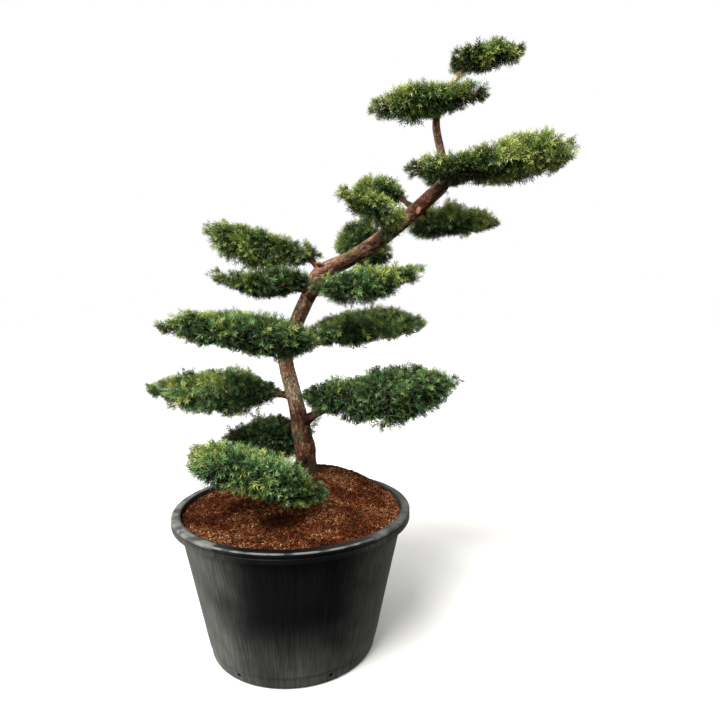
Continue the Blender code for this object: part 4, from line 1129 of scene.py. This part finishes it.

# %% [markdown]
# ## The node tree that sets the shoots out
#
# The carrier is a mesh of loose points, one for each shoot, that hold its direction, the way it faces, its
# length, its variant and its tint. The tree turns each copy along its direction, rolls it towards the way it
# faces, scales it, and paints it by tint plus age and painted shade: needles near a shoot's foot one tint
# darker, the outermost one tint lighter.

# %% Tree: shoots on points
shoot_tree, given = new_tree("shoots_on_points", Shoots=("Collection", None), Length=("Float", 1.0),
                             Roll=("Float", 0.5), Seed=("Int", 7))
stored = {label: add_node(shoot_tree, "GeometryNodeInputNamedAttribute", {"data_type": kind},
                          {"Name": label})
          for label, kind in (("heading", "FLOAT_VECTOR"), ("facing", "FLOAT_VECTOR"), ("length", "FLOAT"),
                              ("variant", "INT"), ("tint", "INT"), ("age", "INT"))}
turned = add_node(shoot_tree, "FunctionNodeAlignRotationToVector", {"axis": "X"},
                  {"Vector": stored["heading"]})
turned = add_node(shoot_tree, "FunctionNodeAlignRotationToVector", {"axis": "Z", "pivot_axis": "X"},
                  {"Rotation": turned, "Vector": stored["facing"]})
least = add_node(shoot_tree, "ShaderNodeMath", {"operation": "MULTIPLY"}, {0: given.outputs["Roll"], 1: -1.0})
roll = add_node(shoot_tree, "FunctionNodeRandomValue", {"data_type": "FLOAT"},
                {2: least, 3: given.outputs["Roll"], "Seed": given.outputs["Seed"]})
roll = add_node(shoot_tree, "FunctionNodeAxisAngleToRotation",
                inputs={"Axis": (1.0, 0.0, 0.0), "Angle": roll})
turned = add_node(shoot_tree, "FunctionNodeRotateRotation", {"rotation_space": "LOCAL"},
                  {"Rotation": turned, "Rotate By": roll})
size = add_node(shoot_tree, "ShaderNodeMath", {"operation": "MULTIPLY"},
                {0: stored["length"], 1: given.outputs["Length"]})
copies = add_node(shoot_tree, "GeometryNodeCollectionInfo",
                  inputs={"Collection": given.outputs["Shoots"], "Separate Children": True,
                          "Reset Children": True})
placed = add_node(shoot_tree, "GeometryNodeInstanceOnPoints",
                  inputs={"Points": given.outputs["Geometry"], "Instance": copies, "Pick Instance": True,
                          "Instance Index": stored["variant"], "Rotation": turned, "Scale": size})
# Tint plus age and painted shade: inner needles one tint darker, outer ones one lighter.
tint_age_and_shade = add_node(shoot_tree, "ShaderNodeMath", {"operation": "ADD"},
                        {0: stored["tint"], 1: stored["age"]})
finish_tree(shoot_tree, placed, needle_materials, tint_age_and_shade)
print("Tree", shoot_tree.name, "has", len(shoot_tree.nodes), "nodes")

# %% [markdown]
# ## The node tree that thickens the twigs
#
# Twigs are drawn as chains of edges with a thickness on each point. The tree turns each chain into a curve,
# sweeps a three-sided ring along it with capped ends, and paints old wood brown and this year's shoots
# green. Three sides are plenty on a stick one to four millimetres thick.

# %% Twig materials and tree
# Young yew bark: smooth, thin, grey-brown to reddish, dull.
twig_bark, tree, shader = new_material("smooth_twig_bark", "#5E4836", 0.75)
spots = add_node(tree, "ShaderNodeTexCoord").outputs["Object"]
spots = add_node(tree, "ShaderNodeTexNoise", inputs={"Vector": spots, "Scale": 320.0})
ramp = add_node(tree, "ShaderNodeValToRGB", inputs={0: spots}, stops=((0.35, "#3F2E22"), (0.65, "#7B6048")))
tree.links.new(ramp.outputs[0], shader.inputs["Base Color"])
# This year's shoot: still green, with a slight waxy gloss.
green_stem = new_material("green_shoot_stem", "#6C7C3A", 0.55)[0]

twig_tree, given = new_tree("twigs_from_edges", Sides=("Int", 3), Thickness=("Float", 1.0))
thickness, young = (add_node(twig_tree, "GeometryNodeInputNamedAttribute", {"data_type": kind},
                             {"Name": label})
                    for label, kind in (("thickness", "FLOAT"), ("young", "INT")))
curve = add_node(twig_tree, "GeometryNodeMeshToCurve", inputs={"Mesh": given.outputs["Geometry"]})
girth = add_node(twig_tree, "ShaderNodeMath", {"operation": "MULTIPLY"},
                 {0: thickness, 1: given.outputs["Thickness"]})
ring = add_node(twig_tree, "GeometryNodeCurvePrimitiveCircle",
                inputs={"Resolution": given.outputs["Sides"], "Radius": 1.0})
swept = add_node(twig_tree, "GeometryNodeCurveToMesh",
                 inputs={"Curve": curve, "Profile Curve": ring, "Scale": girth, "Fill Caps": True})
finish_tree(twig_tree, swept, (twig_bark, green_stem), young)
print("Tree", twig_tree.name, "has", len(twig_tree.nodes), "nodes")


# %% Make every cloud
MAIN_RADII = [0.0024, 0.0019, 0.0014]    # where a main twig starts, at its bend and at its end
FINER_RADII = [0.0014, 0.0011, 0.0008]
SPRIG_RADII = [0.0014, 0.0012, 0.0009]
SHOOT_RADII = [0.0008, 0.0004]


def edge_chains(name, chains):
    """A mesh of open chains: each chain is its points, their thickness, and whether it is young."""
    points, edges, thickness, young = [], [], [], []
    for path, radii, is_young in chains:
        edges += [(len(points) + i, len(points) + i + 1) for i in range(len(path) - 1)]
        points += path
        thickness += radii
        young += [int(is_young)] * len(path)
    piece = add_piece(name, points, [], edges=edges)
    set_attribute(piece.data, "thickness", "FLOAT", thickness)
    set_attribute(piece.data, "young", "INT", young)
    return piece


needle_pieces, twig_pieces, total = {}, {}, 0
for pad in pads:
    rng = random.Random(pad.name)
    mains, finer, area = grow_twigs(pad, rng)
    shoots = grow_shoots(pad, rng, finer)
    sprig_stems, sprig_shoots = grow_sprigs(pad, rng)
    shoots += sprig_shoots
    chains = [(path, SPRIG_RADII, False) for path in sprig_stems]
    chains += [(path, MAIN_RADII, False) for path in mains]
    chains += [(twig[0], FINER_RADII, False) for twig in finer]
    chains += [([start, end], SHOOT_RADII, True) for start, end, facing, tint in shoots]
    twigs = grow_mesh("twigs_" + pad.name, edge_chains("chains", chains), twig_tree, Sides=3, Thickness=1.0)
    carrier = add_piece("marks", [shoot[0] for shoot in shoots], [])
    spans = [end - start for start, end, facing, tint in shoots]
    for label, kind, values in (
            ("heading", "FLOAT_VECTOR", [tuple(span.normalized()) for span in spans]),
            ("facing", "FLOAT_VECTOR", [tuple(shoot[2]) for shoot in shoots]),
            ("length", "FLOAT", [span.length for span in spans]),
            ("variant", "INT", [rng.randrange(SHOOT_VARIANTS) for span in spans]),
            ("tint", "INT", [shoot[3] for shoot in shoots])):
        set_attribute(carrier.data, label, kind, values)
    needles = grow_mesh("needles_" + pad.name, carrier, shoot_tree, Shoots=shoot_collection, Length=1.0,
                        Roll=0.5, Seed=7)
    needle_pieces[pad.name], twig_pieces[pad.name] = needles, twigs
    total += count_triangles(needles) + count_triangles(twigs)
    print(f"{pad.name}: {area:.3f} m2, {len(shoots)} shoots, {count_triangles(needles)} triangles of needles")
print("Needles and twigs together:", total, "triangles")

# %% [markdown]
# ## The pot
#
# A nursery pot of this size is injection moulded from black polypropylene. Its wall tapers so that pots
# stack, a small step runs round it above the base, and its rim is turned down for stiffness. At the front
# and back the rim has a rolled bead with a groove under it. At the sides, where hands lift it, the rim is
# plain. A profile is turned round the axis in fine steps, and each step may change the rim, which a plain
# turned solid can't do. The drain holes are then cut with a Boolean.

# %% Sizes of the pot
POT_HEIGHT = 0.358
RIM_RADIUS = 0.300
RIM_DEPTH = 0.0235
NECK_RADIUS = 0.2797
BASE_RADIUS = 0.2091
BASE_ROUND = 0.010
POT_WALL = 0.0035
FOOT_RING_HEIGHT = 0.032
FOOT_RING_STEP = 0.0015
DRAIN_HOLES = 6
DRAIN_RADIUS = 0.0055
DRAIN_HEIGHT = 0.019
FIRST_DRAIN_DEG = -67.0
POT_STEPS = 240
BEAD_HALF_DEG = 35.5          # the beaded rim reaches this far each way from front and back
BEAD_RADIUS = 0.0034
GROOVE_DEPTH = 0.0026
RIM_DIP = 0.0006              # of the rim's top beside the bead
LIP_ROUND = 0.0016            # of the rim's inner and lower edges
GRIP_SET_BACK = 0.0014        # the plain rim's face stands this far inside the bead
print("The pot is", 2.0 * RIM_RADIUS, "m across the rim and", POT_HEIGHT, "m high")


# %% The pot's profile
def wall_radius(height):
    share = (height - BASE_ROUND) / (POT_HEIGHT - RIM_DEPTH - BASE_ROUND)
    return BASE_RADIUS + share * (NECK_RADIUS - BASE_RADIUS)


def arc(centre_r, centre_z, radius, first_deg, last_deg, count):
    """Points on a rounding of the profile."""
    angles = [math.radians(first_deg + (last_deg - first_deg) * i / (count - 1)) for i in range(count)]
    return [(centre_r + radius * math.cos(a), centre_z + radius * math.sin(a)) for a in angles]


def pot_profile(beaded):
    """The wall's outline from the inner floor over the rim to the underside; beaded is 0 at the grips."""
    under = POT_HEIGHT - RIM_DEPTH
    inner = NECK_RADIUS - POT_WALL
    face = RIM_RADIUS - GRIP_SET_BACK * (1.0 - beaded)
    top_round = BEAD_RADIUS + 0.0020 * (1.0 - beaded)
    groove = GROOVE_DEPTH * beaded
    ring = wall_radius(FOOT_RING_HEIGHT)
    line = [(BASE_RADIUS - BASE_ROUND, POT_WALL), (BASE_RADIUS - POT_WALL - 0.002, 0.0062),
            (BASE_RADIUS - POT_WALL, BASE_ROUND)]
    line += [(BASE_RADIUS - POT_WALL + (inner - BASE_RADIUS + POT_WALL) * s,
              BASE_ROUND + (under - BASE_ROUND) * s) for s in (0.25, 0.5, 0.75, 1.0)]
    line += arc(inner + 0.0008 + LIP_ROUND, POT_HEIGHT - LIP_ROUND, LIP_ROUND, 180.0, 90.0, 5)
    line += [(r, POT_HEIGHT - RIM_DIP * beaded) for r in (inner + 0.008, face - top_round - 0.003)]
    line += arc(face - top_round, POT_HEIGHT - top_round, top_round, 90.0, 0.0, 8)
    line += [(face - 0.0002, POT_HEIGHT - 0.0080), (face - 0.0006 - groove, POT_HEIGHT - 0.0098),
             (face - 0.0006 - groove, POT_HEIGHT - 0.0118),
             (face - 0.0002 - 0.2 * groove, POT_HEIGHT - 0.0140)]
    line += arc(face - LIP_ROUND, under + LIP_ROUND, LIP_ROUND, 0.0, -90.0, 4)
    line += [(face - POT_WALL, under), (face - POT_WALL, POT_HEIGHT - POT_WALL - 0.0015),
             (NECK_RADIUS + 0.003, POT_HEIGHT - POT_WALL - 0.0002),
             (NECK_RADIUS + 0.001, POT_HEIGHT - POT_WALL - 0.002), (NECK_RADIUS, under)]
    top_of_ring = FOOT_RING_HEIGHT + 0.003
    for s in (0.2, 0.4, 0.6, 0.8, 0.93):
        z = under + (top_of_ring - under) * s
        line.append((wall_radius(z) + FOOT_RING_STEP * s ** 3, z))
    line += [(ring + FOOT_RING_STEP + 0.0002, top_of_ring), (ring + FOOT_RING_STEP, top_of_ring - 0.0012),
             (ring + 0.0002, FOOT_RING_HEIGHT), (wall_radius(0.024), 0.024), (BASE_RADIUS, BASE_ROUND)]
    line += arc(BASE_RADIUS - BASE_ROUND, BASE_ROUND, BASE_ROUND, -8.0, -90.0, 7)
    return line


def bead_share(angle):
    """1 in the beaded stretches, 0 at the grips, with a short step between them."""
    from_front = abs((math.degrees(angle) + 90.0 + 90.0) % 180.0 - 90.0)
    return min(max((BEAD_HALF_DEG - from_front) / 0.8 + 0.5, 0.0), 1.0)


print("Its profile has", len(pot_profile(1.0)), "points")

# %% [markdown]
# ## Worn black plastic
#
# Polypropylene with carbon black starts out dark and slightly glossy. Years of watering leave a grey-green
# bloom of lime and dust, thickest near the foot, and handling draws fine upright scuffs down the wall and
# rubs the rim pale at the grips. The wall is also painted paler towards its left and right sides, partly as
# scuffs from handling and partly as a painted sheen; the left grip is painted paler than the right as painted
# light from the left; and a broken pale line along the bead's upper edge is a painted highlight. The colour
# stays nearly black in between, and the gloss is what shows the round form.

# %% Material: moulded black polypropylene
SCUFF = 0.0026                # width of one upright scuff; real ones are finer and would not show
SCUFF_STRETCH = 0.035         # a scuff is some thirty times as long
CLOUD = 0.09                  # across one cloud of dust
RUB = 0.030                   # and across one rubbed patch of the rim

# Moulded polypropylene with carbon black: almost black, smooth, with a soft upright sheen. Clean, its IOR
# would be near 1.49; dust takes most of that gloss, so it is set lower.
plastic, tree, shader = new_material("moulded_black_polypropylene", "#08090B", 0.28, 1.14)
spot = add_node(tree, "ShaderNodeTexCoord").outputs["Object"]
flat = add_node(tree, "ShaderNodeVectorMath", {"operation": "MULTIPLY"}, {0: spot, 1: (1.0, 1.0, 0.0)})
around = add_node(tree, "ShaderNodeVectorMath", {"operation": "NORMALIZE"}, {0: flat})
down = add_node(tree, "ShaderNodeVectorMath", {"operation": "MULTIPLY"},
                {0: spot, 1: (0.0, 0.0, SCUFF_STRETCH)})
upright = add_node(tree, "ShaderNodeVectorMath", {"operation": "MULTIPLY_ADD"},
                   {0: around, 1: (NECK_RADIUS, NECK_RADIUS, 0.0), 2: down})
scuffs = add_node(tree, "ShaderNodeTexNoise", inputs={"Vector": upright, "Scale": 1.0 / SCUFF,
                                                     "Detail": 2.0, "Roughness": 0.6})
cloud = add_node(tree, "ShaderNodeTexNoise", inputs={"Vector": spot, "Scale": 1.0 / CLOUD, "Detail": 3.0})
axes = add_node(tree, "ShaderNodeSeparateXYZ", inputs={0: spot}).outputs
foot_dust = add_node(tree, "ShaderNodeMapRange", {"interpolation_type": "SMOOTHSTEP"}, {
    "Value": axes["Z"], "From Min": 0.19, "From Max": 0.0, "To Min": 0.0, "To Max": 0.36})
streaks = add_node(tree, "ShaderNodeMapRange", inputs={
    "Value": scuffs, "From Min": 0.40, "From Max": 0.62, "To Min": 0.68, "To Max": 1.34})
cloud_share = add_node(tree, "ShaderNodeMapRange", inputs={
    "Value": cloud, "From Min": 0.35, "From Max": 0.70, "To Min": 0.55, "To Max": 1.15})
# Painted sheen: the wall is painted paler towards its left and right sides and stays darkest at front and
# back, partly also as scuffs where hands hold it.
sideways = add_node(tree, "ShaderNodeMath", {"operation": "ABSOLUTE"}, {0: axes["X"]})
handled_and_sheen = add_node(tree, "ShaderNodeMapRange", {"interpolation_type": "SMOOTHSTEP"}, {
    "Value": sideways, "From Min": 0.08, "From Max": 0.25, "To Min": 0.025, "To Max": 0.72})
below_rim = add_node(tree, "ShaderNodeMapRange", inputs={
    "Value": axes["Z"], "From Min": POT_HEIGHT - 0.03, "From Max": POT_HEIGHT - 0.01, "To Min": 1.0,
    "To Max": 0.35})
handled_and_sheen = add_node(tree, "ShaderNodeMath", {"operation": "MULTIPLY"}, {0: handled_and_sheen, 1: below_rim})
dust_wear_and_sheen = add_node(tree, "ShaderNodeMath", {"operation": "ADD"}, {0: handled_and_sheen, 1: foot_dust})
for share in (streaks, cloud_share):
    dust_wear_and_sheen = add_node(tree, "ShaderNodeMath", {"operation": "MULTIPLY"}, {0: dust_wear_and_sheen, 1: share})
# The rim's pale marks: real rubbing on the grips, the left one painted paler as painted light, and a painted
# highlight along the bead's upper edge.
wear = add_node(tree, "ShaderNodeAttribute", {"attribute_name": "wear"}).outputs["Fac"]
patches = add_node(tree, "ShaderNodeTexNoise", inputs={"Vector": spot, "Scale": 1.0 / RUB, "Detail": 4.0})
patches = add_node(tree, "ShaderNodeMapRange", inputs={
    "Value": patches, "From Min": 0.40, "From Max": 0.60, "To Min": 0.15, "To Max": 1.0})
rubbed_and_highlight = add_node(tree, "ShaderNodeMath", {"operation": "MULTIPLY"}, {0: wear, 1: patches})
dust_wear_and_sheen = add_node(tree, "ShaderNodeMath", {"operation": "ADD", "use_clamp": True}, {0: dust_wear_and_sheen, 1: rubbed_and_highlight})
colour = add_node(tree, "ShaderNodeMix", {"data_type": "RGBA"},
                  {0: dust_wear_and_sheen, 6: linear("#08080B"), 7: linear("#70706A")})
tree.links.new(colour.outputs[2], shader.inputs["Base Color"])
rough = add_node(tree, "ShaderNodeMapRange", inputs={"Value": dust_wear_and_sheen, "To Min": 0.28, "To Max": 0.65})
tree.links.new(rough.outputs[0], shader.inputs["Roughness"])
bump = add_node(tree, "ShaderNodeBump", inputs={"Height": scuffs, "Strength": 0.35, "Distance": 0.0005})
tree.links.new(bump.outputs[0], shader.inputs["Normal"])
print("Material", plastic.name)

# %% Turn the pot
EDGE_HIGHLIGHT = 1.3               # painted highlight on the bead's upper edge; at 1 it is as pale as plastic rubbed through
GRIP_WEAR = 0.76              # of the grips between the beads
GRIP_WEAR_AND_LIGHT_SWING = 0.44         # more on the left one and less on the right one, partly as painted light from the left

corners, wears_and_highlight = [], []
profile_length = len(pot_profile(1.0))
for step in range(POT_STEPS):
    angle = math.tau * step / POT_STEPS
    beaded = bead_share(angle)
    for radius, z in pot_profile(beaded):
        corners.append((radius * math.cos(angle), radius * math.sin(angle), z))
        # on_edge picks the bead's upper edge for the painted highlight; on_grip rubs the grips pale, paler on
        # the left as painted light.
        on_rim = z > POT_HEIGHT - 0.006 and radius > NECK_RADIUS + 0.002
        on_edge = z > POT_HEIGHT - 0.0022 and radius > RIM_RADIUS - 0.0040
        on_grip = (GRIP_WEAR - GRIP_WEAR_AND_LIGHT_SWING * math.cos(angle)) * (1.0 - beaded)
        wears_and_highlight.append(0.02 + on_grip + EDGE_HIGHLIGHT * beaded * on_edge if on_rim else 0.0)
faces = []
for step in range(POT_STEPS):
    here, there = step * profile_length, (step + 1) % POT_STEPS * profile_length
    faces += [(here + i, here + i + 1, there + i + 1, there + i) for i in range(profile_length - 1)]
for end, turn, z in ((0, -1, POT_WALL), (profile_length - 1, 1, 0.0)):
    corners.append((0.0, 0.0, z))
    wears_and_highlight.append(0.0)
    hub = len(corners) - 1
    faces += [(hub, step * profile_length + end, (step + 1) % POT_STEPS * profile_length + end)[::turn]
              for step in range(POT_STEPS)]
pot = add_piece("black_pot", corners, faces, plastic)
shape = bmesh.new()
shape.from_mesh(pot.data)
bmesh.ops.recalc_face_normals(shape, faces=shape.faces)
shape.to_mesh(pot.data)
shape.free()
set_attribute(pot.data, "wear", "FLOAT", wears_and_highlight)
print("The turned pot has", count_triangles(pot), "triangles")

# %% Cut its drain holes
for index in range(DRAIN_HOLES):
    angle = math.radians(FIRST_DRAIN_DEG) + index * math.tau / DRAIN_HOLES
    outward = Vector((math.cos(angle), math.sin(angle), 0.0))
    shape = bmesh.new()
    bmesh.ops.create_cone(shape, cap_ends=True, segments=24, radius1=DRAIN_RADIUS, radius2=DRAIN_RADIUS,
                          depth=8.0 * POT_WALL)
    middle = outward * (wall_radius(DRAIN_HEIGHT) - POT_WALL / 2.0) + UP * DRAIN_HEIGHT
    turn = outward.to_track_quat("Z", "Y").to_matrix().to_4x4()
    bmesh.ops.transform(shape, matrix=Matrix.Translation(middle) @ turn, verts=shape.verts)
    drill = add_piece("drill", [], [])
    shape.to_mesh(drill.data)
    shape.free()
    boolean = pot.modifiers.new("Drain", "BOOLEAN")
    boolean.operation = "DIFFERENCE"
    boolean.object = drill
    pot.data = apply_modifier(pot, boolean)
    bpy.data.objects.remove(drill)
pot.data.materials.clear()
pot.data.materials.append(plastic)
pot.data.shade_smooth()
pot.data.set_sharp_from_angle(angle=math.radians(38.0))
print("The pot has", count_triangles(pot), "triangles")

# %% [markdown]
# ## The soil
#
# Potting soil for a yew is bark and coconut fibre: a dark, damp, crumbly bed with a mat of loose reddish
# strands and flakes on top. The bed is a closed disc with small lumps, heaped round the trunk. The strands
# are scattered over it by Geometry Nodes, each lying nearly flat at a random turn, in five plain tints.
# Under the lowest cloud they lean to the darker tints, as a painted shadow.

# %% The bed of soil
SOIL_EDGE_RADIUS = 0.272
SOIL_GAP = 0.0003
CRUMB = 0.014                 # across a lump of soil
CRUMB_LIFT = 0.0030
BED_RINGS = 92
BED_STEPS = 300
BED_DEPTH = 0.060

# Damp composted bark: dark, broken and matt. Its IOR is set low, because a heap of crumbs has no smooth face
# to mirror the light.
damp, tree, shader = new_material("damp_bark_soil", "#4A2A1A", 0.95, 1.15)
spot = add_node(tree, "ShaderNodeTexCoord").outputs["Object"]
grains = add_node(tree, "ShaderNodeTexNoise", inputs={"Vector": spot, "Scale": 260.0, "Detail": 5.0,
                                                     "Roughness": 0.7})
ramp = add_node(tree, "ShaderNodeValToRGB", inputs={0: grains},
                stops=((0.36, "#0A0301"), (0.52, "#2A1005"), (0.68, "#4A220F")))
tree.links.new(ramp.outputs[0], shader.inputs["Base Color"])
bump = add_node(tree, "ShaderNodeBump", inputs={"Height": grains, "Strength": 0.9, "Distance": 0.0015})
tree.links.new(bump.outputs[0], shader.inputs["Normal"])


def crumbled_height(x, y):
    """The soil's surface with its lumps."""
    rough = noise.noise(Vector((x, y, 0.0)) / CRUMB) + 0.6 * noise.noise(Vector((x, y, 0.5)) / (CRUMB * 0.4))
    return soil_height(x, y) + CRUMB_LIFT * rough


corners = [(0.0, 0.0, crumbled_height(0.0, 0.0))]
rings = [SOIL_EDGE_RADIUS * (ring + 1) / BED_RINGS for ring in range(BED_RINGS)]
for radius in rings:
    for step in range(BED_STEPS):
        angle = math.tau * step / BED_STEPS
        x, y = radius * math.cos(angle), radius * math.sin(angle)
        corners.append((x, y, crumbled_height(x, y)))
low = SOIL_LEVEL - BED_DEPTH
for radius, z in ((wall_radius(SOIL_LEVEL - 0.012) - POT_WALL - SOIL_GAP, SOIL_LEVEL - 0.012),
                  (wall_radius(low) - POT_WALL - SOIL_GAP, low)):
    turns = [math.tau * step / BED_STEPS for step in range(BED_STEPS)]
    corners += [(radius * math.cos(turn), radius * math.sin(turn), z) for turn in turns]
corners.append((0.0, 0.0, low))
faces = [(0, 1 + step, 1 + (step + 1) % BED_STEPS) for step in range(BED_STEPS)]
for ring in range(BED_RINGS + 1):
    here, there = 1 + ring * BED_STEPS, 1 + (ring + 1) * BED_STEPS
    faces += [(here + step, there + step, there + (step + 1) % BED_STEPS, here + (step + 1) % BED_STEPS)
              for step in range(BED_STEPS)]
last = 1 + (BED_RINGS + 1) * BED_STEPS
faces += [(len(corners) - 1, last + (step + 1) % BED_STEPS, last + step) for step in range(BED_STEPS)]
soil = add_piece("soil_bed", corners, faces, damp)
soil.data.shade_smooth()
print("The bed has", count_triangles(soil), "triangles")

# %% Four strands to copy from
FIBRE_TINTS = (("fibre_dark", "#180702"), ("fibre_brown", "#3F1C0B"), ("fibre_red", "#5F2F16"),
               ("fibre_tan", "#855130"), ("fibre_pale", "#C09063"))
SHADOW_UNDER_LOW_CLOUD = (-0.035, -0.100, 0.352)    # painted shadow: round here, under the lowest cloud, the fibres take darker tints
FIBRES_PER_SQUARE_METRE = 374000.0
FIBRE_LENGTHS = (0.003, 0.0085)
STRAND_WIDTHS = (0.05, 0.07, 0.13, 0.06)    # half widths of the four strands, for a length of one

# Coconut fibre and bark flakes: dry and matt, from almost black to straw, with as low an IOR as the bed's.
fibre_materials = [new_material(label, hex_colour, 0.95, 1.15)[0] for label, hex_colour in FIBRE_TINTS]
fibre_collection = bpy.data.collections.new("fibres")
for variant, half_width in enumerate(STRAND_WIDTHS):
    rng = random.Random(90 + variant)
    ends = [Vector((x, rng.uniform(-0.16, 0.16), rng.uniform(-0.05, 0.16))) for x in (-0.5, 0.5)]
    corners = [point + Vector((0.0, side * half_width, 0.0)) for point in ends for side in (-1.0, 1.0)]
    strand = add_piece(f"strand_{variant}", corners, [(0, 2, 1), (1, 2, 3)])
    bpy.context.scene.collection.objects.unlink(strand)
    fibre_collection.objects.link(strand)
print(len(STRAND_WIDTHS), "strands in", len(fibre_materials), "tints")

# %% Tree: loose fibres on the bed
fibre_tree, given = new_tree("loose_fibres", Strands=("Collection", None), Density=("Float", 1000.0),
                             Shortest=("Float", 0.006), Longest=("Float", 0.016), Seed=("Int", 3))
stored_tint = add_node(fibre_tree, "GeometryNodeInputNamedAttribute", {"data_type": "INT"}, {"Name": "tint"})
flat_top = add_node(fibre_tree, "GeometryNodeInputNormal")
upward = add_node(fibre_tree, "ShaderNodeSeparateXYZ", inputs={0: flat_top}).outputs["Z"]
is_top = add_node(fibre_tree, "FunctionNodeCompare", {"data_type": "FLOAT", "operation": "GREATER_THAN"},
                  {0: upward, 1: 0.35})
scattered = add_node(fibre_tree, "GeometryNodeDistributePointsOnFaces",
                     inputs={"Mesh": given.outputs["Geometry"], "Selection": is_top,
                             "Density": given.outputs["Density"], "Seed": given.outputs["Seed"]})
turn = add_node(fibre_tree, "FunctionNodeRandomValue", {"data_type": "FLOAT_VECTOR"},
                {0: (-0.45, -0.45, 0.0), 1: (0.45, 0.45, math.tau), "Seed": given.outputs["Seed"]})
turn = add_node(fibre_tree, "FunctionNodeEulerToRotation", inputs={0: turn})
turn = add_node(fibre_tree, "FunctionNodeRotateRotation", {"rotation_space": "LOCAL"},
                {"Rotation": scattered.outputs["Rotation"], "Rotate By": turn})
long = add_node(fibre_tree, "FunctionNodeRandomValue", {"data_type": "FLOAT"},
                {2: given.outputs["Shortest"], 3: given.outputs["Longest"], "Seed": 11})
which = add_node(fibre_tree, "FunctionNodeRandomValue", {"data_type": "INT"},
                 {4: 0, 5: len(STRAND_WIDTHS) - 1, "Seed": 12})
tint = add_node(fibre_tree, "FunctionNodeRandomValue", {"data_type": "FLOAT"},
                {2: 0.0, 3: 1.0, "Seed": 13})
# Damp and dry patches lean to the darker and the paler tints.
here = add_node(fibre_tree, "GeometryNodeInputPosition")
patch = add_node(fibre_tree, "ShaderNodeTexNoise", inputs={"Vector": here, "Scale": 16.0, "Detail": 2.0})
patch = add_node(fibre_tree, "ShaderNodeMapRange", inputs={
    "Value": patch, "From Min": 0.34, "From Max": 0.62, "To Min": -1.1, "To Max": 0.6})
# Painted shadow under the lowest cloud: near that place the fibres take darker tints.
hollow = add_node(fibre_tree, "ShaderNodeVectorMath", {"operation": "DISTANCE"},
                  {0: here, 1: SHADOW_UNDER_LOW_CLOUD})
hollow = add_node(fibre_tree, "ShaderNodeMapRange", {"interpolation_type": "SMOOTHSTEP"},
                  {"Value": hollow, "From Min": 0.012, "From Max": 0.060, "To Min": -2.3, "To Max": 0.0})
patch = add_node(fibre_tree, "ShaderNodeMath", {"operation": "ADD"}, {0: patch, 1: hollow})
tint = add_node(fibre_tree, "ShaderNodeMath", {"operation": "MULTIPLY_ADD"}, {0: tint, 1: 4.2, 2: patch})
tint = add_node(fibre_tree, "ShaderNodeMapRange", inputs={
    "Value": tint, "From Max": 4.0, "To Min": 0.0, "To Max": 4.0})
tint = add_node(fibre_tree, "ShaderNodeMath", {"operation": "FLOOR"}, {0: tint})
marked = add_node(fibre_tree, "GeometryNodeStoreNamedAttribute", {"data_type": "INT", "domain": "POINT"},
                  {"Geometry": scattered.outputs["Points"], "Name": "tint", "Value": tint})
copies = add_node(fibre_tree, "GeometryNodeCollectionInfo",
                  inputs={"Collection": given.outputs["Strands"], "Separate Children": True,
                          "Reset Children": True})
placed = add_node(fibre_tree, "GeometryNodeInstanceOnPoints",
                  inputs={"Points": marked, "Instance": copies, "Pick Instance": True,
                          "Instance Index": which, "Rotation": turn, "Scale": long})
finish_tree(fibre_tree, placed, fibre_materials, stored_tint)
bed_copy = add_piece("bed_copy", [], [])
bed_copy.data = soil.data.copy()
fibres = grow_mesh("soil_fibres", bed_copy, fibre_tree, Strands=fibre_collection,
                   Density=FIBRES_PER_SQUARE_METRE, Shortest=FIBRE_LENGTHS[0],
                   Longest=FIBRE_LENGTHS[1], Seed=3)
print("The loose fibre has", count_triangles(fibres), "triangles")

# %% [markdown]
# ## Handing the pieces to the frame
#
# Nothing moves on a plant in a pot, so every piece rides on the one body. Each finer piece stands for the
# solids it was grown over, which stay in the physics model and are hidden from view.

# %% Ride and replace
def hand_over(piece, slot, *nodes):
    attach(piece, "root")
    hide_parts(*nodes)


hand_over(trunk, "yew_bark", "trunk")
hand_over(boughs, "yew_bark", *[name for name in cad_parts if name.startswith("bough_")])
for pad in pads:
    hand_over(needle_pieces[pad.name], "yew_needles", pad.name)
    hand_over(twig_pieces[pad.name], "yew_bark", pad.name)
hand_over(pot, "pot_plastic", "pot")
hand_over(soil, "soil_fibre", "soil")
hand_over(fibres, "soil_fibre", "soil")
